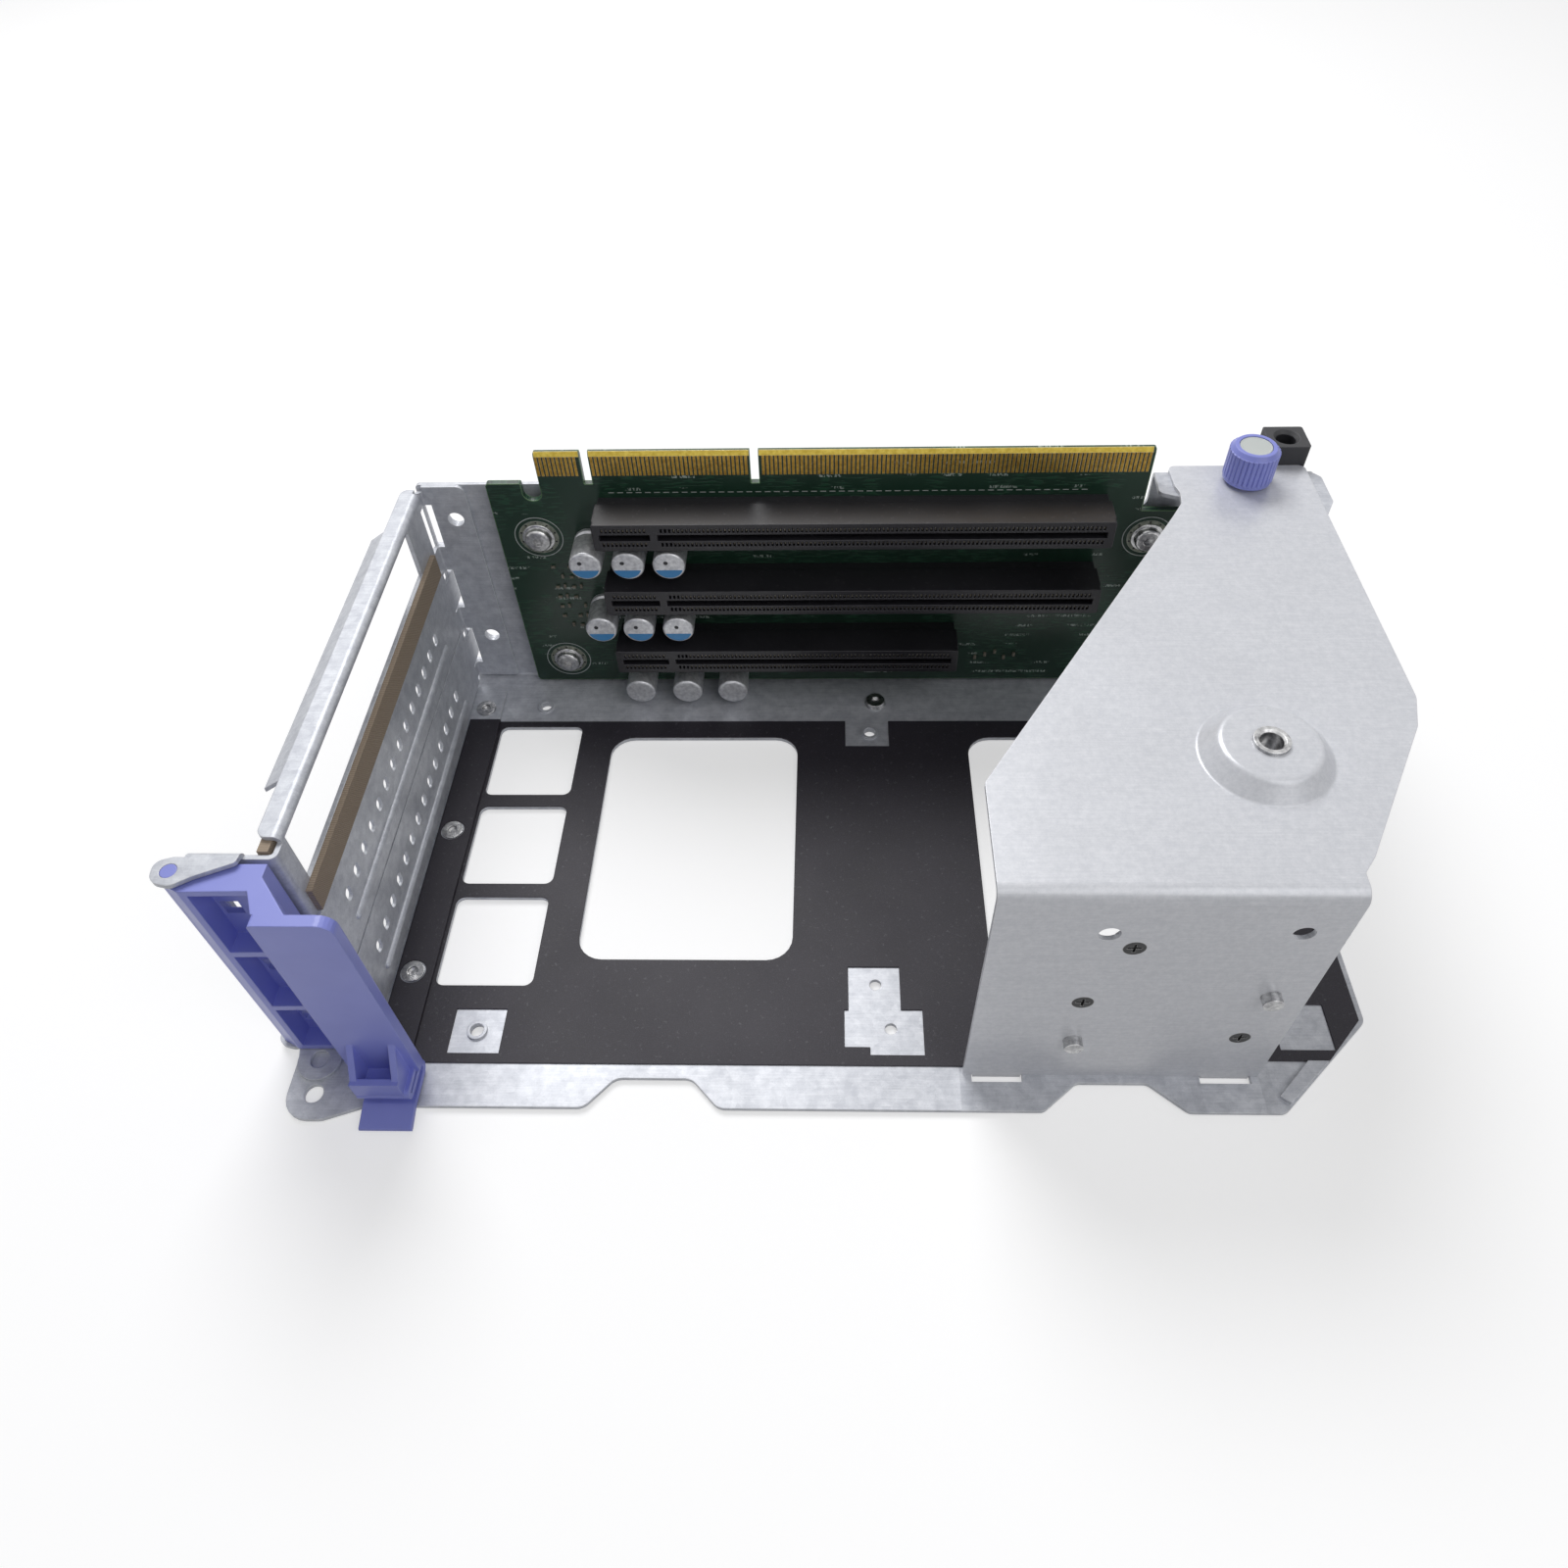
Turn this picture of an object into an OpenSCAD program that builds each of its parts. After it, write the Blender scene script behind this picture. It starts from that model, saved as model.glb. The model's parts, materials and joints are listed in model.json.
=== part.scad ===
// Riser cage bracket: a folded steel cage that carries a three-slot riser board,
// its slot wall with two blank fillers, a hinged card latch and a screwed end bracket.
// X runs along the board, away from the slot wall. Y runs back, through the board. Z is up.
// The cage lies on its tray. The origin is on the tray's outer face, straight under the
// first end of the board's card edge, in the plane of the board's front face.

/* [Sheet metal] */
// Thickness of the folded sheets
sheet_t = 1; // [0.8:0.1:1.2]
// Inside radius of the small folds
fold_r = 0.6; // [0.4:0.1:1]
// Thickness of the blank slot fillers
filler_t = 0.8; // [0.6:0.1:1]
// Thickness of the black insulating film
film_t = 0.3; // [0.2:0.1:0.5]

/* [Tray] */
// Card edge's first end to the inner face of the slot wall
wall_x = 30.3; // [29:0.1:32]
// Card edge's first end to the right edge of the tray
tray_right = 184.4; // [183:0.1:188]
// Board's front face to the front edge of the tray
tray_front = 124.2; // [123:0.1:126]
// Length of the cut corner at the front right, along X
corner_x = 22; // [18:0.5:23]
// Length of the cut corner at the front right, along Y
corner_y = 20.5; // [18:0.5:22]
// Side of the three small windows, along X
vent_w = 22.2; // [20:0.1:24]
// Side of the three small windows, along Y
vent_d = 23.7; // [20:0.1:25]
// Spacing of the three small windows
vent_pitch = 27.5; // [27:0.1:28]
// Width of the two large windows
window_w = 49.6; // [40:0.1:52]
// Depth of the two large windows
window_d = 68; // [60:0.5:72]
// Corner radius of the large windows
window_r = 6; // [2:0.5:10]
// Spacing of the two large windows
window_pitch = 94.6; // [90:0.1:98]
// Radius of the hole in the front ear
ear_hole_r = 2; // [1.5:0.1:2.5]

/* [Back wall] */
// Board's front face to the front face of the back wall
wall_gap = 3.3; // [3:0.1:4]
// Height of the wall's left end above the tray's inner face
wall_h = 64.4; // [63.5:0.1:66]
// Height of the wall behind the board
low_wall_h = 57; // [54:0.5:58]

/* [Slot wall] */
// Height of the slot wall above the tray's inner face
slot_wall_h = 63; // [62.6:0.1:63.4]
// Pitch of the card slots
slot_pitch = 20.32; // [20.32]
// Width of a slot opening
slot_h = 13; // [12:0.1:13.2]
// Width of the top flange
top_flange_w = 4.6; // [4:0.1:6]
// Reach of the sloping lip beyond the top flange
lip_w = 3.6; // [2:0.1:5]
// Drop of the sloping lip
lip_drop = 2.4; // [1.5:0.1:3]
// Width of the bottom flange
bottom_flange_w = 9; // [8:0.1:9.2]
// Width of the flange that laps the back wall
back_flange_w = 11; // [10:0.1:12]

/* [Riser board] */
// Thickness of the board
board_t = 1.6; // [1.2:0.1:2]
// Length of the card edge
edge_len = 143.6; // [143.6]
// Height of the card edge's tip above the tray's inner face
edge_top = 75.4; // [74.5:0.1:77]
// Height of the board's left shoulder
shoulder_h = 66.8; // [66:0.1:67.5]
// Pitch of the edge's pads and of the connectors' contacts
contact_pitch = 1; // [1]
// Radius of a board screw's head
board_head_r = 3.3; // [2.8:0.1:3.6]

/* [Connectors] */
// Height of a connector off the board
conn_h = 11.2; // [10:0.1:12]
// Width of a connector
conn_w = 7.5; // [7:0.1:8]
// Length of the two long connectors
conn_long = 122; // [110:1:124]
// Length of the short connector
conn_short = 89; // [80:1:100]
// Height of the lower connector's centre above the tray's inner face
conn_z = 18.6; // [18:0.1:19.5]

/* [Capacitors] */
// Radius of a capacitor
cap_r = 4; // [3:0.1:4.2]
// Length of a capacitor
cap_len = 10.2; // [8:0.1:11]

/* [End bracket] */
// Height of the bracket's top plate above the tray's inner face
bracket_h = 67.4; // [66:0.1:68.5]
// Board's front face to the bracket's front wall
bracket_front = 116.3; // [116:0.1:117]
// Left edge of the bracket
bracket_left = 96.9; // [95:0.1:98]
// Width of the bracket's front wall
bracket_w = 61.5; // [60:0.1:63]
// Outside radius of the bend along the front
bracket_r = 2.8; // [2:0.1:4]
// Outer radius of the raised boss
boss_r = 13.2; // [11:0.1:14]
// Height of the raised boss
boss_h = 3.5; // [2:0.1:4.5]
// Radius of the boss's flat top
boss_flat_r = 9; // [8:0.1:9.5]
// Radius of the thread in the boss insert
insert_r = 2.1; // [1.6:0.1:2.5]

/* [Thumbscrew] */
// Radius of the knob
knob_r = 5.6; // [5:0.1:6.2]
// Height of the knob
knob_h = 8.4; // [7:0.1:10]
// Radius of the screw
screw_r = 2; // [1.5:0.1:2.2]
// Number of grooves round the knob
knob_grooves = 32; // [24:1:40]

/* [Alignment block] */
// Side of the block along X
block_w = 9.3; // [8:0.1:10]
// Side of the block along Y
block_d = 8.4; // [8:0.1:10]
// Height of the block
block_h = 22; // [16:0.5:26]
// Radius of the block's guide hole
guide_r = 2.3; // [1.8:0.1:2.6]

/* [Latch] */
// Radius of the latch's pivot pins
pivot_r = 1.5; // [1.2:0.05:1.8]
// Thickness of the latch's strap
strap_t = 2.4; // [2:0.1:2.6]
// Width of the latch's strap
strap_w = 14.6; // [12:0.1:15]
// Wall of the latch's frame
latch_wall = 1.4; // [1:0.1:1.8]

/* [Hidden] */

$fn = 48;
eps = 0.01;           // overshoot of a cut past a face
running = 0.05;       // radial clearance of a running fit
side_gap = 0.3;       // clearance beside a moving or loose piece

// Planes that several pieces share
wall_in = -wall_x;                       // inner face of the slot wall
wall_out = wall_in - sheet_t;            // outer face of the slot wall
back_in = wall_gap;                      // front face of the back wall
back_out = wall_gap + sheet_t;           // rear face of the back wall
flange_in = back_in - sheet_t;           // front face of the slot wall's back flange
film_z = film_t;                         // top of the film on the tray
rail_y = -104;                           // rear face of the slot wall's front flange
tab_y = rail_y - sheet_t;                // front face of that flange, where card tabs rest
fold_out = fold_r + sheet_t;             // outside radius of a small fold

// Rows of the slot wall, from the tray's inner face
slot_top = slot_wall_h - fold_out;       // top of the upper slot opening
slot_back = -11;                         // rear end of the slot openings
slot_front = -100;                       // front end of the slot openings
rim_front = -101.2;                      // front end of the top flange
tongue_top = 59.2;                       // top of the upper tongue slot
tongue_slot = 12.9;                      // height of a tongue slot
tongue_y = -0.6;                         // front end of the tongue slots
tongue_gap = 1.9;                        // reach of a tongue slot into the cage
filler_z = fold_out + 0.1;               // underside of the lower filler
filler_h = slot_pitch - 0.7;             // height of a filler
filler_back = -1.6;                      // rear end of a filler, where its tongue starts
tab_len = 7;                             // reach of a filler's tab along the front flange
gasket_t = 1.2;                          // thickness of the web's gasket

// Latch
pivot = [-47.8, -108.6];                 // axis of the latch
latch_z0 = sheet_t + side_gap;           // underside of the latch's frame
latch_z1 = slot_wall_h - sheet_t - side_gap;
frame_front = -112.2;                    // front face of the latch's frame
frame_back = tab_y - filler_t - 0.4;     // rear face of the latch's frame
strap_front = -119.2;                    // front face of the strap
strap_x = -30.8;                         // left edge of the strap
scoop_front = -124.8;                    // front of the thumb scoop
barrel_r = pivot_r + 0.7;                // radius of the latch's hinge barrel
strap_back = strap_front + strap_t;      // rear face of the strap
scoop_x = -28.2;                         // left side of the thumb scoop
scoop_w = 10;
leg_t = 1.2;                             // thickness of the folded spring
leg_z = 5.7;                             // underside of the spring's upper leg
low_leg = leg_z - 0.9 - 2 * leg_t - 1.9; // underside of the spring's lower leg
fold_front = -123.2;                     // centres of the spring's folds
fold_back = -117.5;
latch_rows = [[2.7, 18.6], [20.2, 39.6], [41.2, latch_z1 - latch_wall]];
second_hole = [-40.6, -114.4];           // second hole in the slot wall's lower ear
flange_left = -46;                       // outer edge of the slot wall's front flange

// Board
screw_spots = [[-3.1, 51], [-3.1, 9.1], [146.5, 50], [146.5, 9.1]];
board_left = -13;
board_right = 153.5;
board_z = 1;                             // underside of the board above the tray
keys = [11.8, 51.4];                     // centres of the card edge's key notches
key_w = 2;
pad_h = 5.9;
conn_x = 13.1;                           // left end of the connectors
standoff_neck = 2.4;                     // neck of a standoff in the back wall
pad_w = 0.7;
pad_t = 0.05;
cell_d = 1.6;                            // depth of the contact cells
cell_w = 0.55;
cell_row = 2;                            // contact rows, from the middle of a connector
key_x = 14.5;                            // key of a card slot, from its left end

// End bracket
bracket_right = bracket_left + bracket_w;
plate_z = bracket_h - sheet_t;           // underside of the top plate
flange_z = plate_z - sheet_t;            // underside of the back wall's top flange
screw_at = [165.2, -1.5];                // axis of the thumbscrew
boss_at = [148.5, -85.5];
black_screws = [[122.6, 51], [116.8, 31.4], [150, 17.4]];
studs = [[117.3, 16.1], [151.2, 34.1]];
plain_holes = [[117.4, 55.6], [150.5, 56]];
hook_spots = [[99, 10], [146.5, 10]];    // start and width of the bracket's hooks
black_r = 2;
stud_r = 1.9;
boss_hole = insert_r + 1.2;              // hole in the boss for its insert
black_neck = 1.25;                       // radius of a black screw's shank

// Back wall
flange_holes = [[-23.4, 54.8], [-23.4, 16]];   // open holes through flange and wall
block_x = 171.2;                         // left side of the alignment block
block_top = bracket_h + 4.9;             // top of the alignment block
peg_r = 1.8;                             // the block's pegs in the back wall
peg_z = [block_top - block_h + 4, flange_z - 5];
flange_x0 = 145.5;                       // ends of the back wall's top flange
flange_x1 = 182;
nut_spigot_r = screw_r + 1;              // the clinch nut's neck in that flange
ferrule_r = screw_r + 1;                 // the ferrule's neck in the bracket's plate

// Tray
ear_at = [-40, -121.7];
floor_screw_at = [81.3, -8.4];
rivets = [[-25.6, -53.2], [-25.6, -93.2], [-25.6, -11.4]];
burrs = [[-9.4, -10], [79.5, -19.8], [-8.2, -107.1]];
rivet_r = 1.6;
burr_r = 1.5;
vent_x = -20.3;
vent_y = -17.4;
window_x = 10.7;
window_y = -21.3;
film_back = -15.5;
film_front = -114.6;

// Fillers
vents = 14;                              // vent slots in a filler
vent_start = -18.2;
vent_step = 5.8;
vent_h = 11.4;                           // middle of the vent slots, above the filler's lower edge
bead_h = 4.9;                            // middle of the bead, above the filler's lower edge
bead_y = [-95.5, -13.5];
bead_r = 0.9;

// ---------- helpers ----------

function unit(v) = v / norm(v);

// The arc that rounds the corner p, met from a and left towards b.
function corner_arc(p, a, b, r, n) =
    r <= 0 ? [p] :
    let (u = unit(a - p), v = unit(b - p), half = acos(u * v) / 2,
         c = p + unit(u + v) * r / sin(half),
         s = p + u * r / tan(half) - c, e = p + v * r / tan(half) - c,
         a0 = atan2(s[1], s[0]), a1 = atan2(e[1], e[0]), d = a1 - a0,
         turn = d > 180 ? d - 360 : d < -180 ? d + 360 : d)
    [for (i = [0:n]) c + r * [cos(a0 + turn * i / n), sin(a0 + turn * i / n)]];

function xy(p) = [p[0], p[1]];

// An outline whose corners are given as [x, y, radius].
function rounded(pts, n = 6) = let (k = len(pts))
    [for (i = [0:k - 1]) each corner_arc(xy(pts[i]), xy(pts[(i + k - 1) % k]),
        xy(pts[(i + 1) % k]), pts[i][2], n)];

module rounded_box(x0, y0, x1, y1, r)
    polygon(rounded([[x0, y0, r], [x1, y0, r], [x1, y1, r], [x0, y1, r]]));

// A block between two opposite corners.
module block(a, b) translate(a) cube(b - a);

// Everything above the tray is measured from the tray's inner face.
module on_tray() translate([0, 0, sheet_t]) children();

// A hole or pin along +Y from y0 to y1.
module along_y(x, z, y0, y1, r) translate([x, y0, z]) rotate([-90, 0, 0]) cylinder(h = y1 - y0, r = r);

// A shape drawn in X and Z, y0 to y1 thick.
module plate_xz(y0, y1) translate([0, y1, 0]) rotate([90, 0, 0]) linear_extrude(y1 - y0) children();

// A shape drawn in Y and Z, x0 to x1 thick.
module plate_yz(x0, x1) translate([x0, 0, 0]) rotate([90, 0, 90]) linear_extrude(x1 - x0) children();

// Quarter ring of a folded sheet, in the first quadrant.
module fold_2d(r, t) intersection() {
    difference() {
        circle(r + t);
        circle(r);
    }
    square(r + t);
}

// ---------- tray, back wall and its top flange: one folded sheet ----------

module tray_outline() polygon(rounded([[wall_out, back_in - fold_r, 0],
    [tray_right, back_in - fold_r, 0], [tray_right, corner_y - tray_front, 3],
    [tray_right - corner_x, -tray_front, 3], [-28, -tray_front, 4], [-37, -127.3, 4],
    [-45.7, -127.3, 5.5], [-45.7, -106.5, 2], [-43, -104.3, 2], [wall_out, -104.3, 1]]));

// A notch in the front edge with S-shaped sides.
module edge_notch(x0, x1, deep, slope, r) polygon(rounded([[x0 - 4, -tray_front - 3, 0],
    [x0 - 4, -tray_front, 0], [x0, -tray_front, r], [x0 + slope, deep - tray_front, r],
    [x1 - slope, deep - tray_front, r], [x1, -tray_front, r], [x1 + 4, -tray_front, 0],
    [x1 + 4, -tray_front - 3, 0]]));

module window_cuts() {
    for (i = [0:2])
        let (y = vent_y - i * vent_pitch)
            rounded_box(vent_x, y - vent_d, vent_x + vent_w, y, 2);
    for (i = [0:1])
        let (x = window_x + i * window_pitch)
            rounded_box(x, window_y - window_d, x + window_w, window_y, window_r);
}

// Slots in the tray that take the end bracket's hooks.
module hook_slots() for (s = hook_spots)
    translate([s[0] - side_gap, -bracket_front - 1.6])
        square([s[1] + 2 * side_gap, sheet_t + 1.6 + running]);

// A hole down through the tray.
module floor_hole(p, r) translate([p[0], p[1], -1]) cylinder(h = 4, r = r);

module tray_floor() difference() {
    linear_extrude(sheet_t) difference() {
        tray_outline();
        edge_notch(17.5, 45.7, 6.5, 6, 3.6);
        edge_notch(113, 142.7, 6.2, 7.5, 2.4);
        window_cuts();
        hook_slots();
    }
    for (p = [[79.1, -95.3], [82.2, -106]]) floor_hole(p, 1.3);
    for (p = rivets) floor_hole(p, rivet_r);
    for (p = burrs) floor_hole(p, burr_r);
    floor_hole(ear_at, ear_hole_r);
    floor_hole(floor_screw_at, 1.5);
}

// Collars drawn up round the burred holes.
module burr_collars() for (p = burrs) translate([p[0], p[1], 0]) difference() {
    cylinder(h = 0.6, r = burr_r + 0.7);
    translate([0, 0, -eps]) cylinder(h = 1, r = burr_r);
}

// The hem folded back along the cut corner.
module corner_hem() polygon([[161.6, -120.9], [163.5, -122.4], [173.9, -113.1], [169.4, -113.1]]);

module wall_shape() polygon(rounded([[wall_out, fold_r, 0], [tray_right, fold_r, 0],
    [tray_right, flange_z - 12, 2], [flange_x1, flange_z - 12, 0], [flange_x1, flange_z - fold_r, 0],
    [flange_x0, flange_z - fold_r, 0], [flange_x0, low_wall_h, 1.5], [1, low_wall_h, 1.5],
    [1, wall_h, 1.5], [wall_out, wall_h, 1]]));

// The three slots that take the tongues of card brackets, drawn in X and Z.
module tongue_slots(x0) for (i = [0:2])
    translate([x0, tongue_top - tongue_slot - i * slot_pitch])
        square([wall_in + tongue_gap - x0, tongue_slot]);

module back_wall() difference() {
    plate_xz(back_in, back_out) difference() {
        wall_shape();
        tongue_slots(wall_in - 0.4);
    }
    for (s = screw_spots) along_y(s[0], s[1], back_in - eps, back_out + eps, standoff_neck);
    for (h = flange_holes) along_y(h[0], h[1], back_in - eps, back_out + eps, 2);
    for (z = peg_z) along_y(block_x + block_w / 2, z, back_in - eps, back_out + eps, peg_r);
}

module top_flange() difference() {
    linear_extrude(sheet_t) polygon(rounded([[flange_x1, back_in - fold_r, 0],
        [flange_x0, back_in - fold_r, 0], [flange_x0 - 0.4, -4.5, 1.5], [151, -7, 2], [154, -13.5, 2],
        [177, -13.5, 2], [181.2, -13, 1], [183.6, -8.5, 1.5], [183.6, 1, 1.5]]));
    translate([screw_at[0], screw_at[1], -1]) cylinder(h = 4, r = nut_spigot_r);
}

module tray() color("silver") {
    tray_floor();
    plate_yz(wall_out, tray_right) translate([back_in - fold_r, fold_out]) mirror([0, 1])
        fold_2d(fold_r, sheet_t);
    on_tray() {
        burr_collars();
        linear_extrude(sheet_t) corner_hem();
        back_wall();
        plate_yz(flange_x0, flange_x1) translate([back_in - fold_r, flange_z - fold_r])
            fold_2d(fold_r, sheet_t);
        translate([0, 0, flange_z]) top_flange();
    }
}

// ---------- insulating film ----------

module stepped_cutout() polygon([[73, -90.9], [84.5, -90.9], [84.5, -101.5], [89.2, -101.5],
    [89.2, -112.2], [77.6, -112.2], [77.6, -110.4], [72.1, -110.4], [72.1, -101.6], [73, -101.6]]);

module film_shape(x0) difference() {
    polygon([[x0, film_back], [tray_right - 1.2, film_back], [tray_right - 1.2, corner_y - tray_front + 0.3],
        [tray_right - 10.2, -112.9], [159.6, -112.9], [159.6, film_front], [x0, film_front]]);
    window_cuts();
    translate([-13.8, -112.4]) square([11.3, 10.5]);
    stepped_cutout();
    translate([87.1, 1.8]) stepped_cutout();
    translate([73, -24.5]) square([11.6, 10]);
}

// The film lies on the tray and climbs over the slot wall's bottom flange.
module insulating_film() color("#2b2a30") on_tray() {
    flange_edge = wall_in + bottom_flange_w;
    difference() {
        union() {
            linear_extrude(film_t) film_shape(flange_edge + eps);
            intersection() {
                linear_extrude(sheet_t + film_t) film_shape(wall_in + filler_t + side_gap);
                union() {
                    translate([wall_in, film_front, sheet_t]) cube([bottom_flange_w + film_t, 110, film_t]);
                    translate([flange_edge + eps, film_front, 0]) cube([film_t, 110, sheet_t + film_t]);
                }
            }
        }
        for (p = rivets) translate([p[0], p[1], 0]) cylinder(h = 4, r = rivet_r + 1.3);
    }
}

// ---------- slot wall ----------

// A tapered tongue of sheet round a pivot hole.
module pivot_ear() polygon(rounded([[wall_out - 5, tab_y - fold_r, 0], [wall_out - 5.2, -106.8, 1],
    [-43.2, -109.8, 4], [-46.6, -111.9, 2.4], [-50.6, -111, 2.7], [-51.2, tab_y - fold_r - 1, 2],
    [-48, tab_y - fold_r, 0]]));

// The lower ear is wider and carries a second hole.
module lower_ear() difference() {
    union() {
        pivot_ear();
        translate(second_hole) circle(4.7);
        polygon([[-47, -107], [-37, -107], [-37, -113], [-44.5, -117]]);
    }
    translate(second_hole) circle(2);
}

module slot_wall_panel() difference() {
    translate([rail_y + fold_r, fold_out])
        square([flange_in - fold_r - rail_y - fold_r, slot_wall_h - 2 * fold_out]);
    for (i = [0:2]) translate([slot_front, slot_top - slot_h - i * slot_pitch])
        square([slot_back - slot_front, slot_h + (i == 0 ? eps : 0)]);
    for (i = [0:2]) translate([tongue_y, tongue_top - tongue_slot - i * slot_pitch])
        square([10, tongue_slot]);
}

// The flange that laps the back wall, with its fold.
module back_flange() difference() {
    union() {
        plate_xz(flange_in, back_in) polygon(rounded([[wall_in + fold_r, fold_r + 0.1, 0],
            [wall_in + back_flange_w, fold_r + 0.1, 0.5], [wall_in + back_flange_w, wall_h, 2],
            [wall_in + fold_r, wall_h, 0]]));
        translate([wall_in + fold_r, flange_in - fold_r, fold_out]) linear_extrude(slot_wall_h - fold_out)
            mirror([1, 0]) fold_2d(fold_r, sheet_t);
    }
    for (i = [0:2])
        block([wall_out - eps, tongue_y, tongue_top - tongue_slot - i * slot_pitch],
            [wall_in + tongue_gap, back_in + eps, tongue_top - i * slot_pitch]);
    for (h = flange_holes) along_y(h[0], h[1], flange_in - eps, back_in + eps, 2);
}

// The flange turned out at the front, where the tabs of card brackets rest.
module front_flange() {
    plate_xz(tab_y, rail_y) difference() {
        translate([flange_left, fold_out]) square([wall_out - fold_r - flange_left, slot_wall_h - 2 * fold_out]);
        for (i = [0:2]) translate([-44.6, 44 - i * slot_pitch]) square([4.6, 6]);
    }
    translate([wall_out - fold_r, rail_y + fold_r, fold_out]) linear_extrude(slot_wall_h - 2 * fold_out)
        mirror([0, 1]) fold_2d(fold_r, sheet_t);
    plate_yz(flange_left, wall_out - 5) translate([tab_y - fold_r, fold_out]) mirror([0, 1])
        fold_2d(fold_r, sheet_t);
    plate_yz(flange_left, wall_out - 5) translate([tab_y - fold_r, slot_wall_h - fold_out])
        fold_2d(fold_r, sheet_t);
}

// The top flange and its sloping lip.
module slot_top_flange() {
    edge = wall_in - top_flange_w;
    translate([0, 0, slot_wall_h - sheet_t]) linear_extrude(sheet_t) polygon(rounded([
        [wall_out - fold_r, rim_front, 0], [wall_out - fold_r, back_in, 0], [edge, back_in, 2],
        [edge, rim_front, 2]]));
    plate_xz(rim_front, flange_in - fold_r) translate([wall_out - fold_r, slot_wall_h - fold_out])
        fold_2d(fold_r, sheet_t);
    plate_xz(-88, -13) polygon([[edge + 1, slot_wall_h - sheet_t], [edge + 1, slot_wall_h], [edge, slot_wall_h],
        [edge - lip_w, slot_wall_h - lip_drop], [edge - lip_w, slot_wall_h - lip_drop - sheet_t],
        [edge, slot_wall_h - sheet_t]]);
}

module bottom_flange() difference() {
    union() {
        linear_extrude(sheet_t) polygon(rounded([[wall_in + fold_r, -3, 0], [wall_in + fold_r, -101, 0],
            [wall_in + bottom_flange_w, -101, 2], [wall_in + bottom_flange_w, -3, 2]]));
        plate_xz(-101, -3) translate([wall_in + fold_r, fold_out]) rotate(180) fold_2d(fold_r, sheet_t);
    }
    for (p = rivets) floor_hole(p, rivet_r);
}

module slot_wall() color("lightsteelblue") on_tray() {
    plate_yz(wall_out, wall_in) slot_wall_panel();
    bottom_flange();
    back_flange();
    front_flange();
    slot_top_flange();
    difference() {
        union() {
            linear_extrude(sheet_t) lower_ear();
            translate([0, 0, slot_wall_h - sheet_t]) linear_extrude(sheet_t) pivot_ear();
        }
        translate([pivot[0], pivot[1], -1]) cylinder(h = slot_wall_h + 2, r = pivot_r + running);
    }
}

// ---------- fillers ----------

// A blank card bracket: plate, tongue, front tab, one row of vent slots and a bead.
module filler(z) {
    x1 = wall_in + filler_t;
    corner = [wall_out - fold_r, rail_y + fold_r];
    difference() {
        plate_yz(wall_in, x1) difference() {
            union() {
                translate([corner[1], z]) square([filler_back - corner[1], filler_h]);
                translate([filler_back - 1, z + 6]) square([back_out + 1.4 - filler_back, 9.4]);
            }
            for (i = [0:vents - 1]) translate([vent_start - i * vent_step, z + vent_h])
                rounded_box(-1.2, -1.7, 1.2, 1.7, 1);
        }
    }
    translate([x1 - eps, bead_y[1], z + bead_h]) rotate([90, 0, 0]) bead(bead_y[1] - bead_y[0]);
    translate([corner[0], corner[1], z + 0.4]) linear_extrude(filler_h - 0.8) mirror([0, 1])
        fold_2d(fold_out, filler_t);
    plate_xz(tab_y - filler_t, tab_y) polygon(rounded([[corner[0], z + 0.4, 0],
        [corner[0], z + filler_h - 0.4, 0], [corner[0] - tab_len, z + filler_h - 2, 1.5],
        [corner[0] - tab_len, z + 3, 1.5]]));
}

// Half-round bead with rounded ends, along +Z, standing on the plane x = 0.
module bead(len) intersection() {
    union() {
        translate([0, 0, bead_r]) cylinder(h = len - 2 * bead_r, r = bead_r);
        for (h = [bead_r, len - bead_r]) translate([0, 0, h]) sphere(bead_r);
    }
    translate([0, -5, 0]) cube([5, 10, len]);
}

module filler_middle() color("gainsboro") on_tray() filler(filler_z + slot_pitch);
module filler_lower() color("gainsboro") on_tray() filler(filler_z);

// Conductive gaskets on the web under the open slot and under the top flange.
module slot_gaskets() color("#8d7662") on_tray() {
    web = filler_z + slot_pitch + filler_h;
    block([wall_in, rail_y + fold_r + 0.4, web + 0.3], [wall_in + gasket_t, -3.4, slot_top - slot_h - 0.1]);
    block([wall_out - 2.8, rail_y + side_gap, slot_wall_h - sheet_t - 2.2],
        [wall_out - fold_r - 0.1, slot_back, slot_wall_h - sheet_t]);
}

// ---------- rivets ----------

// Tubular rivets through the slot wall's bottom flange and the tray.
module tray_rivets() color("silver") for (p = rivets) translate([p[0], p[1], 0]) difference() {
    union() {
        cylinder(h = 2 * sheet_t, r = rivet_r);
        translate([0, 0, 2 * sheet_t]) cylinder(h = 0.5, r = rivet_r + 1);
    }
    translate([0, 0, -1]) cylinder(h = 6, r = rivet_r - 0.4);
}

// ---------- riser board ----------

module board_shape() difference() {
    polygon(rounded([[board_left, board_z, 1], [board_right, board_z, 1], [board_right, 57.8, 1],
        [edge_len, 57.8, 0], [edge_len, edge_top, 0.6], [0, edge_top, 0.6], [0, shoulder_h - 4.9, 2.1],
        [-4.5, shoulder_h - 4.9, 2.1], [-4.5, shoulder_h, 0.4], [board_left, shoulder_h, 0.8]]));
    for (k = keys) translate([k - key_w / 2, edge_top - 8.8]) square([key_w, 12]);
    for (s = screw_spots) translate(s) circle(1.7);
}

// The bevel along one face of the card edge.
module edge_bevel(face, side) plate_yz(-1, edge_len + 1)
    polygon([[face - side, edge_top + 1], [face + side * 0.45, edge_top + 1], [face + side * 0.45, edge_top],
        [face, edge_top - 1.2], [face - side, edge_top - 1.2]]);

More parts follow.
